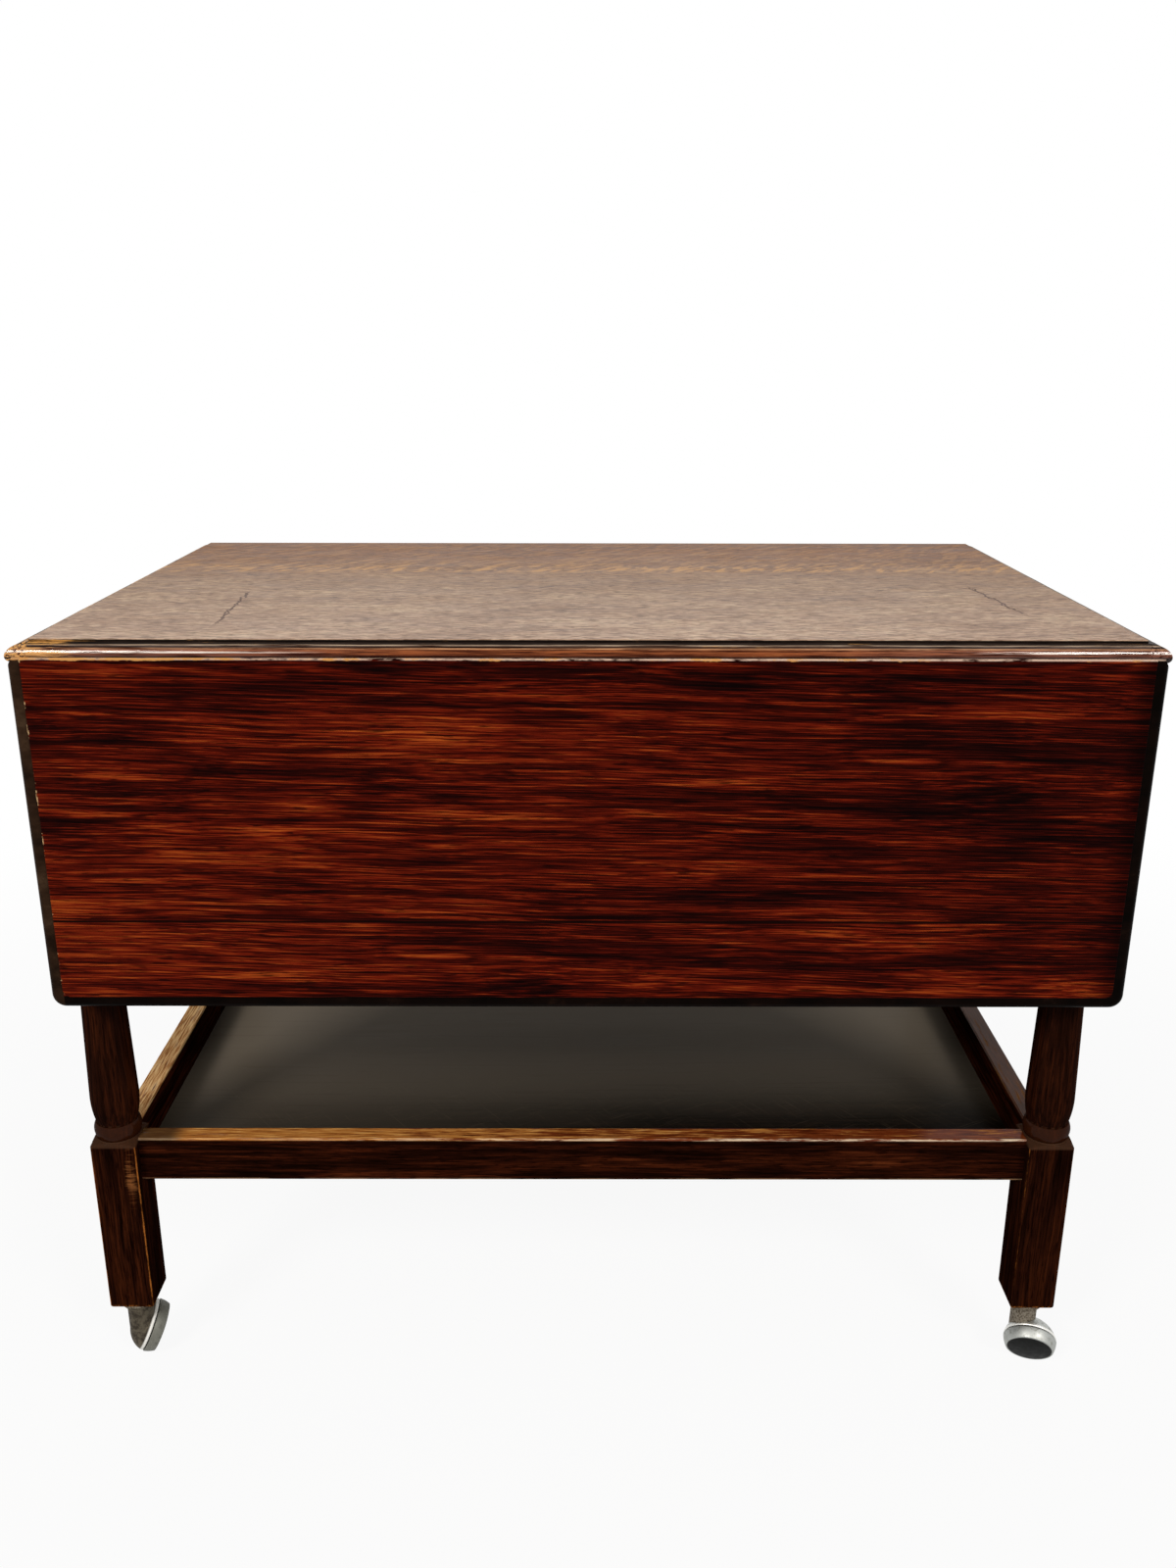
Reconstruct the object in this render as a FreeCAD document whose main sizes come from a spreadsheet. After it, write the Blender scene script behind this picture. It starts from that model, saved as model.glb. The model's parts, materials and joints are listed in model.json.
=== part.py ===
"""Drop-leaf tea trolley: a parametric document with one object for each separate piece.

Frame: X runs along the trolley, -Y is the front, +Z is up. The origin lies on the floor under the
middle of the top. Lengths are millimetres and angles are degrees.
"""
import math
import os
import re

import FreeCAD
import Part
import Sketcher

# Driving dimensions: alias, value, meaning.
SIZES = [
    ("overall_height", 602, "floor to the flat of the top"),
    ("top_length", 762, "top over its moulded ends"),
    ("top_thickness", 13.6, "boards of the top and the leaves"),
    ("edge_softening", 0.6, "round on the outer arris of the top's and the leaves' flats"),
    ("pin_line", 224.3, "middle plane to each hinge pin"),
    ("moulding_step", 2, "square step above the top's mouldings"),
    ("rule_radius", 8.35, "convex half of the rule joint, about the pin"),
    ("rule_play", 0.35, "gap between the two halves of the rule joint"),
    ("end_moulding", 13.6, "width of the thumb moulding on the top's ends"),
    ("leaf_inset", 0.3, "leaf's end inside the top's end"),
    ("leaf_reach", 254.8, "hinge pin to the leaf's free edge"),
    ("leaf_rim", 9.6, "width of the lowered rim round the leaf's flat"),
    ("leaf_moulding", 5, "radius of the round on the rim's outer edge"),
    ("leaf_step", 1.6, "square step from the leaf's flat to its rim"),
    ("leaf_corner", 10, "plan radius of the leaf's free corners"),
    ("leaf_flat_corner", 6, "plan radius of the flat's free corners"),
    ("hinge_length", 38, "each hinge along its pin"),
    ("hinge_inset", 80.7, "leaf's end to the middle of its outer hinge"),
    ("flap_thickness", 1.5, "plate of the hinge flaps"),
    ("top_flap_reach", 22, "pin to the far edge of the flap under the top"),
    ("leaf_flap_reach", 42, "pin to the far edge of the flap on the leaf"),
    ("flap_screw_spread", 11.875, "middle screw of a flap to each outer screw, along the pin"),
    ("flap_screw_stagger", 9, "leaf flap's screws above and below its middle"),
    ("pin_radius", 1.6, "hinge pin"),
    ("running_play", 0.05, "radial play of a shaft in its hole"),
    ("knuckle_gap", 0.35, "between neighbouring knuckles, and round them"),
    ("screw_head_radius", 3, "small countersunk screw"),
    ("screw_shank_radius", 1.5, "small countersunk screw"),
    ("screw_head_height", 1.5, "small countersunk screw"),
    ("screw_length", 10, "small countersunk screw"),
    ("slot_width", 0.7, "driver slot"),
    ("slot_depth", 0.6, "driver slot"),
    ("long_screw_shank_radius", 2, "screw that holds the top"),
    ("long_screw_head_radius", 4, "screw that holds the top"),
    ("long_screw_head_height", 2, "screw that holds the top"),
    ("long_screw_length", 30, "screw that holds the top"),
    ("end_overhang", 6, "top's end beyond the legs, were the frame in the middle"),
    ("pin_overhang", 19, "hinge pin in front of the legs"),
    ("frame_shift", -4, "frame lies off the middle of the top"),
    ("leg_square", 34.5, "side of the leg's square blocks"),
    ("leg_bottom", 57, "floor to the foot of the leg"),
    ("leg_arris", 1.5, "softened long edges of the leg"),
    ("foot_arris", 2.5, "softened edges at the foot"),
    ("lower_block_top", 207, "floor to the top of the lower block"),
    ("shoulder_rake", 0.42, "fall of the turned shoulder for each millimetre outward"),
    ("base_radius", 16.9, "turned disc under the bead"),
    ("base_height", 1.2, "turned disc under the bead"),
    ("bead_radius", 17.6, "glossy bead ring above the block"),
    ("bead_height", 12, "glossy bead ring above the block"),
    ("bead_swell", 1.6, "round of the bead beyond its flat ends"),
    ("neck_radius", 15.2, "between bead and shaft"),
    ("bulb_radius", 18, "widest place of the shaft"),
    ("bulb_rise", 21, "neck to the widest place of the shaft"),
    ("shaft_top_radius", 11.6, "slim end of the shaft"),
    ("ring_radius", 14.6, "ring under the upper block"),
    ("ring_height", 8, "ring under the upper block"),
    ("ring_swell", 1.6, "round of the ring beyond its flat ends"),
    ("turning_root", 5, "turned part drawn this far into the square blocks"),
    ("upper_block_margin", 4, "upper block runs this far below the aprons"),
    ("apron_height", 86, "rails under the top"),
    ("apron_thickness", 18, "rails under the top"),
    ("apron_setback", 6, "apron face behind the leg face"),
    ("tenon_thickness", 8, "on all rails"),
    ("tenon_length", 12, "on all rails"),
    ("apron_tenon_shoulder", 10, "above and below the apron tenon"),
    ("rail_tenon_shoulder", 6, "above and below the tray rail tenon"),
    ("rail_height", 35.7, "tray rails"),
    ("rail_thickness", 16, "tray rails"),
    ("rail_arris", 1.5, "softened top edges of the tray rails"),
    ("long_rail_setback", 8, "front tray rail behind the leg face"),
    ("short_rail_setback", 12, "side tray rail behind the leg face"),
    ("floor_thickness", 4, "plywood floor of the tray"),
    ("floor_let_in", 8, "floor let into the underside of the rails"),
    ("long_rail_screw_inset", 40.5, "leg to the nearest screw of a long rail"),
    ("short_rail_screw_inset", 95.8, "leg to the nearest screw of a short rail"),
    ("fixing_block_length", 45, "glue block under the top"),
    ("fixing_block_width", 20, "glue block under the top"),
    ("fixing_block_height", 24, "glue block under the top"),
    ("fixing_block_inset", 140.5, "leg to the middle of the outer glue block"),
    ("arm_width", 22, "support arm along its pin"),
    ("arm_thickness", 12, "support arm across its pin"),
    ("arm_pin_drop", 70, "arm pin below the leaf's hinge pin"),
    ("arm_pin_stand_off", 9.5, "arm pin outside the apron face"),
    ("arm_pin_radius", 2.5, "steel pin of the arm"),
    ("arm_rise_angle", 25, "arm above the horizontal when it holds the leaf"),
    ("arm_tip_play", 0.4, "arm tip below the raised leaf"),
    ("bracket_plate", 2, "steel of the arm bracket"),
    ("bracket_height", 34, "arm bracket on the apron"),
    ("bracket_side_play", 0.4, "between arm and bracket ear"),
    ("bracket_flange", 12, "bracket plate beyond each ear"),
    ("pin_head_radius", 4, "riveted head of the arm pin"),
    ("pin_head_height", 1.2, "riveted head of the arm pin"),
    ("stop_thickness", 3, "stop on the leaf's underside"),
    ("stop_depth", 12, "stop on the leaf's underside"),
    ("stop_length", 34, "stop on the leaf's underside"),
    ("stop_play", 6.2, "arm tip corner to the stop when the leaf is up"),
    ("ball_radius", 20.5, "caster ball"),
    ("axle_tilt", 25, "wheel axle below the horizontal"),
    ("ball_outset", 5, "stem to ball centre along the axle"),
    ("ball_trail", 7, "stem to ball centre across the axle"),
    ("hood_wall", 1.9, "pressed shell of the hood"),
    ("hood_depth", 16, "ball's middle plane to the pole of the hood"),
    ("wheel_wall", 2.2, "shell of the wheel"),
    ("half_gap", 0.6, "ball's middle plane to the hood or the wheel"),
    ("wheel_band", 8.8, "spherical tread, from the middle plane"),
    ("wheel_depth", 10.8, "middle plane to the wheel's crown"),
    ("hub_radius", 5, "hubs of the hood and the wheel"),
    ("axle_radius", 2.5, "wheel axle"),
    ("axle_end_play", 0.3, "axle end in the wheel's blind hub"),
    ("hub_wall", 3, "metal beyond the blind end of a hub"),
    ("stem_radius", 4, "swivel stem"),
    ("stem_root", 42, "floor to the lower end of the stem"),
    ("stem_top", 91, "floor to the upper end of the stem"),
    ("neck_tube_radius", 10, "hood's neck round the stem"),
    ("neck_cap_radius", 13, "swivel plate on the hood's neck"),
    ("neck_cap_height", 3, "swivel plate on the hood's neck"),
    ("neck_root", 26, "floor to the lower end of the neck"),
    ("swivel_gap", 0.5, "swivel plate below the socket flange"),
    ("flange_radius", 15, "flange of the socket"),
    ("flange_height", 2.5, "flange of the socket"),
    ("socket_radius", 6, "socket sleeve in the leg"),
    ("socket_end", 4, "sleeve beyond the end of the stem"),
]
ALIASES = {alias for alias, _value, _note in SIZES}

# Places that several pieces share, as expressions of the driving dimensions.
Z_TOP = "overall_height"
Z_UNDER = "(overall_height - top_thickness)"
Z_PIN = "(overall_height - moulding_step - rule_radius)"
KNUCKLE_RADIUS = "(top_thickness - moulding_step - rule_radius)"
GROOVE_RADIUS = f"({KNUCKLE_RADIUS} + knuckle_gap)"
Y_PIN = "(-pin_line)"
Y_LEAF_BACK = f"({Y_PIN} + {KNUCKLE_RADIUS})"
Y_LEAF_STEP = f"({Y_LEAF_BACK} - top_thickness + leaf_step)"
FRAME_X = "(top_length / 2 - end_overhang)"
FRAME_Y = "(pin_line - pin_overhang)"
LEG_X = f"({FRAME_X} - leg_square / 2)"
LEG_Y = f"({FRAME_Y} - leg_square / 2)"
INNER_X = f"({FRAME_X} - leg_square)"
INNER_Y = f"({FRAME_Y} - leg_square)"
LEAF_END = "(top_length / 2 - leaf_inset)"
OUTER_HINGE = f"({LEAF_END} - hinge_inset)"
ARM_PLACE = f"({OUTER_HINGE} / 2)"
Y_APRON = f"(-({FRAME_Y} - apron_setback))"
Y_ARM_PIN = f"({Y_APRON} - arm_pin_stand_off)"
Z_ARM_PIN = f"({Z_PIN} - arm_pin_drop)"
RAIL_BOTTOM = "(lower_block_top - rail_height)"
FLOOR_TOP = f"({RAIL_BOTTOM} + floor_thickness)"
FLANGE_BOTTOM = "(leg_bottom - flange_height)"
CAP_TOP = f"({FLANGE_BOTTOM} - swivel_gap)"
DOME_RADIUS = "((ball_radius ^ 2 + hood_depth ^ 2) / (2 * hood_depth))"
DOME_CENTRE = f"({DOME_RADIUS} - hood_depth)"
ARM_SINE = "sin(arm_rise_angle * 1 deg)"
ARM_COSINE = "cos(arm_rise_angle * 1 deg)"
ARM_LENGTH = (f"((arm_pin_drop - {KNUCKLE_RADIUS} - arm_tip_play - arm_thickness / 2 * {ARM_COSINE})"
              f" / {ARM_SINE})")
TIP_REACH = f"(-({Y_ARM_PIN}) - pin_line + {ARM_LENGTH} * {ARM_COSINE} - arm_thickness / 2 * {ARM_SINE})"

# Corners of the frame: name, sign along X, sign along Y, heading of the wheel's axle at rest.
CORNERS = [
    ("front_left", -1, -1, 11.0),
    ("front_right", 1, -1, 253.0),
    ("back_left", -1, 1, -20.0),
    ("back_right", 1, 1, 160.0),
]
# Each side: half turn about the middle, sign of its drawn x and y, drawn places of its two arms.
SIDES = {"front": 0.0, "back": 180.0}
SIDE_SIGN = {"front": "1", "back": "-1"}
ARM_ENDS = {
    "front": {"left": f"-{ARM_PLACE}", "right": ARM_PLACE},
    "back": {"left": ARM_PLACE, "right": f"-{ARM_PLACE}"},
}
HINGE_PLACES = [f"-{OUTER_HINGE}", "0", OUTER_HINGE]
KNUCKLES = 5
# Millimetres within which an edge counts as lying at a height, and by which a cutting tool overshoots.
TOLERANCE = 0.01
PAST = "1"
WORD = re.compile(r"[A-Za-z_]\w*")
TURNS = {
    "x": FreeCAD.Rotation(FreeCAD.Vector(0, 1, 0), 90),
    "y": FreeCAD.Rotation(FreeCAD.Vector(1, 0, 0), -90),
    "-y": FreeCAD.Rotation(FreeCAD.Vector(1, 0, 0), 90),
    "z": FreeCAD.Rotation(),
}
UP = FreeCAD.Vector(0, 0, 1)

DOC = FreeCAD.newDocument("TeaTrolley")
SHEET = DOC.addObject("Spreadsheet::Sheet", "Sizes")
PIECES = {}


# --- the sheet, and what binds objects to it -------------------------------------------------

def fill_sheet():
    """Write each driving dimension with its alias and its meaning."""
    for row, (alias, value, note) in enumerate(SIZES, start=1):
        SHEET.set(f"A{row}", note)
        SHEET.set(f"B{row}", str(value))
        SHEET.setAlias(f"B{row}", alias)
    DOC.recompute()


def expand(text):
    """Turn plain size names into references to the sheet."""
    return WORD.sub(lambda m: f"Sizes.{m.group()}" if m.group() in ALIASES else m.group(), text)


def number(text):
    """Value of an expression now."""
    return float(SHEET.evalExpression(expand(text)))


def bind(item, prop, text):
    """Drive one property by an expression of the sheet."""
    item.setExpression(prop, expand(text))


def keep(name, item):
    """Label a finished piece; the label names its file."""
    item.Label = name
    PIECES[name] = item
    return item


# --- primitives and booleans -----------------------------------------------------------------

def block(name, x, y, z):
    """Box between a low and a high limit on each axis."""
    box = DOC.addObject("Part::Box", name)
    for prop, axis, (low, high) in zip(("Length", "Width", "Height"), "xyz", (x, y, z)):
        bind(box, prop, f"({high}) - ({low})")
        bind(box, f"Placement.Base.{axis}", low)
    return box


def rod(name, radius, length, start, axis="z"):
    """Cylinder from a start point along one axis."""
    cylinder = DOC.addObject("Part::Cylinder", name)
    cylinder.Placement = FreeCAD.Placement(FreeCAD.Vector(), TURNS[axis])
    bind(cylinder, "Radius", radius)
    bind(cylinder, "Height", length)
    for letter, place in zip("xyz", start):
        bind(cylinder, f"Placement.Base.{letter}", place)
    return cylinder


def fuse(name, parts):
    """One solid from several."""
    joined = DOC.addObject("Part::MultiFuse", name)
    joined.Shapes = parts
    joined.Refine = True
    return joined


def group(name, parts):
    """Separate solids that share one node."""
    compound = DOC.addObject("Part::Compound", name)
    compound.Links = parts
    return compound


def cut(name, base, tools):
    """A piece less its tools."""
    result = DOC.addObject("Part::Cut", name)
    result.Base = base
    result.Tool = tools[0] if len(tools) == 1 else fuse(f"{name}_tools", tools)
    return result


def copy_of(source, name, start, axis="z", side="front"):
    """Link to a drawn piece, laid along an axis and moved; the back gets the half turn."""
    link = DOC.addObject("App::Link", name)
    link.LinkedObject = source
    about_z = FreeCAD.Rotation(UP, SIDES[side])
    link.Placement = FreeCAD.Placement(FreeCAD.Vector(), about_z * TURNS[axis])
    for letter, place, sign in zip("xyz", start, (SIDE_SIGN[side], SIDE_SIGN[side], "1")):
        bind(link, f"Placement.Base.{letter}", f"{sign} * ({place})")
    return link


def turned_side(item, side):
    """Give a piece drawn for the front its place on the named side."""
    item.Placement = FreeCAD.Placement(FreeCAD.Vector(), FreeCAD.Rotation(UP, SIDES[side]))
    return item


# --- sketches ----------------------------------------------------------------------------------

def line(x, y):
    """Straight stretch to a point."""
    return ("line", (x, y), None, None)


def arc(x, y, centre, ccw):
    """Round stretch to a point, about a centre."""
    return ("arc", (x, y), centre, ccw)


def quarter_ellipse(x, y, centre, radii, ccw):
    """Elliptical stretch to a point; radii are those along the sketch's own axes."""
    return ("ellipse", (x, y), (centre, radii), ccw)


def add_curve(sketch, kind, start, end, shape, ccw):
    """Add one stretch and return its index and the ends that meet start and end."""
    begin, finish = ((number(x), number(y)) for x, y in (start, end))
    if kind == "line":
        segment = Part.LineSegment(FreeCAD.Vector(*begin, 0), FreeCAD.Vector(*finish, 0))
        return sketch.addGeometry(segment), 1, 2
    centre = shape if kind == "arc" else shape[0]
    middle = FreeCAD.Vector(number(centre[0]), number(centre[1]), 0)
    if kind == "arc":
        circle = Part.Circle(middle, UP, math.dist(begin, (middle.x, middle.y)))
    else:
        across, upward = (number(radius) for radius in shape[1])
        circle = Part.Ellipse(middle + FreeCAD.Vector(across, 0, 0),
                              middle + FreeCAD.Vector(0, upward, 0), middle)
    angles = [circle.parameter(FreeCAD.Vector(*point, 0)) for point in (begin, finish)]
    first, last = angles if ccw else angles[::-1]
    if last < first:
        last += 2 * math.pi
    curve = Part.ArcOfCircle if kind == "arc" else Part.ArcOfEllipse
    index = sketch.addGeometry(curve(circle, first, last))
    return (index, 1, 2) if ccw else (index, 2, 1)


def fix(sketch, index, place, axis, text):
    """Bind one coordinate of a sketch point to an expression."""
    row = sketch.addConstraint(
        Sketcher.Constraint(f"Distance{axis}", -1, 1, index, place, number(text)))
    sketch.setExpression(f"Constraints[{row}]", expand(text))


def sketch_on(body, name, plane, outline, offset=None):
    """Closed sketch on one of the body's origin planes; the last stretch ends at the start."""
    sketch = body.newObject("Sketcher::SketchObject", name)
    origin_plane = next(f for f in body.Origin.OriginFeatures if f.Role == f"{plane}_Plane")
    sketch.AttachmentSupport = [(origin_plane, "")]
    sketch.MapMode = "FlatFace"
    if offset:
        bind(sketch, "AttachmentOffset.Base.z", offset)
    ends = []
    start = outline[-1][1]
    for kind, end, shape, ccw in outline:
        ends.append((*add_curve(sketch, kind, start, end, shape, ccw), kind, end, start, shape))
        start = end
    for here, after in zip(ends, ends[1:] + ends[:1]):
        sketch.addConstraint(Sketcher.Constraint("Coincident", here[0], here[2], after[0], after[1]))
    for index, _begin, finish, kind, end, start, shape in ends:
        fix(sketch, index, finish, "X", end[0])
        fix(sketch, index, finish, "Y", end[1])
        if kind == "arc":
            wide = abs(number(end[0]) - number(start[0])) >= abs(number(end[1]) - number(start[1]))
            axis = "Y" if wide else "X"
            fix(sketch, index, 3, axis, shape[1] if wide else shape[0])
        elif kind == "ellipse":
            fix(sketch, index, 3, "X", shape[0][0])
            fix(sketch, index, 3, "Y", shape[0][1])
            major = sketch.GeometryCount
            sketch.exposeInternalGeometry(index)
            sketch.addConstraint(Sketcher.Constraint("Horizontal", major))
    return sketch


def new_body(name):
    """Empty PartDesign body."""
    return DOC.addObject("PartDesign::Body", name)


def pad(body, name, sketch, length, middle=False):
    """Pad a sketch, to one side or to both."""
    feature = body.newObject("PartDesign::Pad", name)
    feature.Profile = sketch
    if middle:
        feature.SideType = "Symmetric"
    bind(feature, "Length", length)
    sketch.Visibility = False
    return feature


def pocket_through(body, name, sketch):
    """Cut a sketch right through, both ways."""
    feature = body.newObject("PartDesign::Pocket", name)
    feature.Profile = sketch
    feature.SideType = "Symmetric"
    feature.Type = "ThroughAll"
    return feature


def revolve(body, name, sketch, kind="Revolution"):
    """Turn a sketch about its own vertical axis."""
    feature = body.newObject(f"PartDesign::{kind}", name)
    feature.Profile = sketch
    feature.ReferenceAxis = (sketch, ["V_Axis"])
    feature.Angle = 360
    return feature


def soften(body, name, base, radius, wanted):
    """Fillet the edges of a feature whose middle point and direction pass a test."""
    DOC.recompute()
    edges = []
    for index, edge in enumerate(base.Shape.Edges, start=1):
        first, last = edge.ParameterRange
        middle = edge.valueAt((first + last) / 2)
        if wanted(middle, edge.tangentAt((first + last) / 2)):
            edges.append(f"Edge{index}")
    fillet = body.newObject("PartDesign::Fillet", name)
    fillet.Base = (base, edges)
    bind(fillet, "Radius", radius)
    return fillet


# --- screws ------------------------------------------------------------------------------------

def screw_pattern(name, head_radius, head_height, shank_radius, length):
    """Countersunk screw with its head flat on XY and its point up: plain, and slotted."""
    body = new_body(f"{name}_plain")
    outline = [
        line("0", "0"), line(head_radius, "0"), line(shank_radius, head_height),
        line(shank_radius, f"{length} - 2 * {shank_radius}"), line("0", length),
    ]
    revolve(body, f"{name}_turning", sketch_on(body, f"{name}_outline", "XZ", outline))
    slot = block(f"{name}_slot", (f"-{head_radius} - {PAST}", f"{head_radius} + {PAST}"),
                 ("-slot_width / 2", "slot_width / 2"), (f"-{PAST}", "slot_depth"))
    return body, cut(f"{name}_slotted", body, [slot])


class ScrewSet:
    """Screws of one kind that share a node, with the plain shapes that cut their holes."""

    def __init__(self, name, pattern):
        self.name = name
        self.plain, self.slotted = pattern
        self.holes = []
        self.screws = []

    def add(self, start, axis="z", side="front"):
        """Place a screw whose head lies at start and whose point runs along axis."""
        count = len(self.screws)
        hole = copy_of(self.plain, f"{self.name}_hole{count}", start, axis, side)
        self.holes.append(hole)
        self.screws.append(copy_of(self.slotted, f"{self.name}_{count}", start, axis, side))
        return hole

    def finish(self, side=None):
        """Group the screws in their node."""
        node = keep(self.name, group(self.name, self.screws))
        return turned_side(node, side) if side else node


# --- the top and its hinges ----------------------------------------------------------------

def build_top(gains, screw_holes):
    """Top board: thumb moulding on the ends, rule joint on the long edges, hinge gains below."""
    body = new_body("top_blank")
    half = "top_length / 2"
    flat = f"({half} - end_moulding)"
    under_round = KNUCKLE_RADIUS
    radii = ("end_moulding", "rule_radius")
    section = [
        arc(half, Z_PIN, (f"{half} - {under_round}", Z_PIN), True),
        quarter_ellipse(flat, f"{Z_TOP} - moulding_step", (flat, Z_PIN), radii, True),
        line(flat, Z_TOP),
        line(f"-{flat}", Z_TOP),
        line(f"-{flat}", f"{Z_TOP} - moulding_step"),
        quarter_ellipse(f"-({half})", Z_PIN, (f"-{flat}", Z_PIN), radii, True),
        arc(f"-({half} - {under_round})", Z_UNDER, (f"-({half} - {under_round})", Z_PIN), True),
        line(f"{half} - {under_round}", Z_UNDER),
    ]
    pad(body, "top_board", sketch_on(body, "end_section", "XZ", section),
        f"2 * (pin_line + rule_radius + {PAST})", middle=True)
    fall = f"sqrt(rule_radius ^ 2 - {KNUCKLE_RADIUS} ^ 2)"
    for side, sign in (("front", "-1"), ("back", "1")):
        edge = f"{sign} * pin_line"
        far = f"{sign} * (pin_line + rule_radius + 2 * {PAST})"
        cutter = [
            line(edge, f"{Z_TOP} - moulding_step"),
            arc(f"{edge} + {sign} * {fall}", Z_UNDER, (edge, Z_PIN), side == "front"),
            line(f"{edge} + {sign} * {fall}", f"{Z_UNDER} - {PAST}"),
            line(far, f"{Z_UNDER} - {PAST}"),
            line(far, f"{Z_TOP} + {PAST}"),
            line(edge, f"{Z_TOP} + {PAST}"),
        ]
        sketch = sketch_on(body, f"rule_outline_{side}", "YZ", cutter)
        shaped = pocket_through(body, f"rule_joint_{side}", sketch)
    height = number(Z_TOP)
    soften(body, "top_arris", shaped, "edge_softening",
           lambda middle, _direction: abs(middle.z - height) < TOLERANCE)
    return keep("top_panel", cut("top_panel", body, gains + screw_holes))


def build_hinge_gain():
    """Recess for one hinge in the top's underside, with the way that the leaf's flap swings."""
    body = new_body("hinge_gain")
    low = f"{Z_UNDER} - {PAST}"
    slot_end = f"{Y_PIN} - rule_radius - {PAST}"
    flap_top = f"{Z_UNDER} + flap_thickness"
    outline = [
        line(f"{Y_PIN} + top_flap_reach", low),
        line(f"{Y_PIN} + top_flap_reach", flap_top),
        line(f"{Y_PIN} + {GROOVE_RADIUS}", flap_top),
        line(f"{Y_PIN} + {GROOVE_RADIUS}", Z_PIN),
        arc(f"{Y_PIN} - {GROOVE_RADIUS}", Z_PIN, (Y_PIN, Z_PIN), True),
        line(f"{Y_PIN} - {GROOVE_RADIUS}", f"{flap_top} + knuckle_gap"),
        line(slot_end, f"{flap_top} + knuckle_gap"),
        line(slot_end, low),
    ]
    pad(body, "gain_length", sketch_on(body, "gain_section", "YZ", outline),
        "hinge_length + 2 * knuckle_gap", middle=True)
    return body


def build_flap(name, first_knuckle, hangs, holes):
    """One hinge flap at the middle of the front: plate, knuckles and their webs, less its holes."""
    pitch = f"((hinge_length + knuckle_gap) / {KNUCKLES})"
    if hangs:
        plate_y = (f"{Y_LEAF_BACK} - flap_thickness", Y_LEAF_BACK)
        plate_z = (f"{Z_PIN} - leaf_flap_reach", f"{Z_PIN} - {GROOVE_RADIUS}")
        web_y, web_z = plate_y, (f"{Z_PIN} - {GROOVE_RADIUS}", Z_PIN)
    else:
        plate_y = (f"{Y_PIN} + {GROOVE_RADIUS}", f"{Y_PIN} + top_flap_reach")
        plate_z = (Z_UNDER, f"{Z_UNDER} + flap_thickness")
        web_y, web_z = (Y_PIN, f"{Y_PIN} + {GROOVE_RADIUS}"), plate_z
    parts = [block(f"{name}_plate", ("-hinge_length / 2", "hinge_length / 2"), plate_y, plate_z)]
    for index in range(first_knuckle, KNUCKLES, 2):
        left = f"(-hinge_length / 2 + {index} * {pitch})"
        right = f"({left} + {pitch} - knuckle_gap)"
        parts.append(rod(f"{name}_knuckle{index}", KNUCKLE_RADIUS, f"{right} - {left}",
                         (left, Y_PIN, Z_PIN), "x"))
        parts.append(block(f"{name}_web{index}", (left, right), web_y, web_z))
    bore = "pin_radius + running_play" if hangs else "pin_radius"
    pin_hole = rod(f"{name}_bore", bore, f"hinge_length + 2 * {PAST}",
                   (f"-hinge_length / 2 - {PAST}", Y_PIN, Z_PIN), "x")
    return cut(name, fuse(f"{name}_blank", parts), [pin_hole] + holes)


def build_hinges(side, small_screw, frame_screws):
    """Three hinges of one side; returns the leaf's recesses and screw holes, drawn at the front."""
    top_place = f"{Y_PIN} + ({GROOVE_RADIUS} + top_flap_reach) / 2"
    leaf_place = f"{Z_PIN} - ({GROOVE_RADIUS} + leaf_flap_reach) / 2"
    across = "flap_screw_spread"
    top_holes = [copy_of(small_screw[0], f"{side}_top_flap_drill{index}", (x, top_place, Z_UNDER))
                 for index, x in enumerate((f"-{across}", "0", across))]
    low, high = f"{leaf_place} - flap_screw_stagger", f"{leaf_place} + flap_screw_stagger"
    leaf_rows = ((f"-{across}", low), ("0", high), (across, low))
    leaf_holes = [copy_of(small_screw[0], f"{side}_leaf_flap_drill{index}", (x, Y_LEAF_BACK, z), "-y")
                  for index, (x, z) in enumerate(leaf_rows)]
    top_flap = build_flap(f"{side}_top_flap", 0, False, top_holes)
    leaf_flap = build_flap(f"{side}_leaf_flap", 1, True, leaf_holes)
    leaf_screws = ScrewSet(f"{side}_leaf_flap_screws", small_screw)
    recesses, leaf_drills = [], []
    for index, x in enumerate(HINGE_PLACES):
        reach = (f"({x}) - hinge_length / 2", f"({x}) + hinge_length / 2")
        recesses.append(block(f"{side}_flap_recess{index}", reach,
                              (f"{Y_LEAF_BACK} - flap_thickness", f"{Y_LEAF_BACK} + {PAST}"),
                              (f"{Z_PIN} - leaf_flap_reach", Z_PIN)))
        for along in (f"-{across}", "0", across):
            frame_screws.add((f"({x}) + ({along})", top_place, Z_UNDER), "z", side)
        for along, z in leaf_rows:
            leaf_drills.append(leaf_screws.add((f"({x}) + ({along})", Y_LEAF_BACK, z), "-y"))
    pins = [rod(f"{side}_pin{index}", "pin_radius", "hinge_length",
                (f"({x}) - hinge_length / 2", Y_PIN, Z_PIN), "x")
            for index, x in enumerate(HINGE_PLACES)]
    turned_side(keep(f"{side}_hinge_pins", group(f"{side}_hinge_pins", pins)), side)
    for name, item in (("hinge_top_flaps", top_flap), ("hinge_leaf_flaps", leaf_flap)):
        copies = [copy_of(item, f"{side}_{name}{index}", (x, "0", "0"))
                  for index, x in enumerate(HINGE_PLACES)]
        turned_side(keep(f"{side}_{name}", group(f"{side}_{name}", copies)), side)
    leaf_screws.finish(side)
    return recesses, leaf_drills


# --- the leaves and their supports -------------------------------------------------------------

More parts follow.
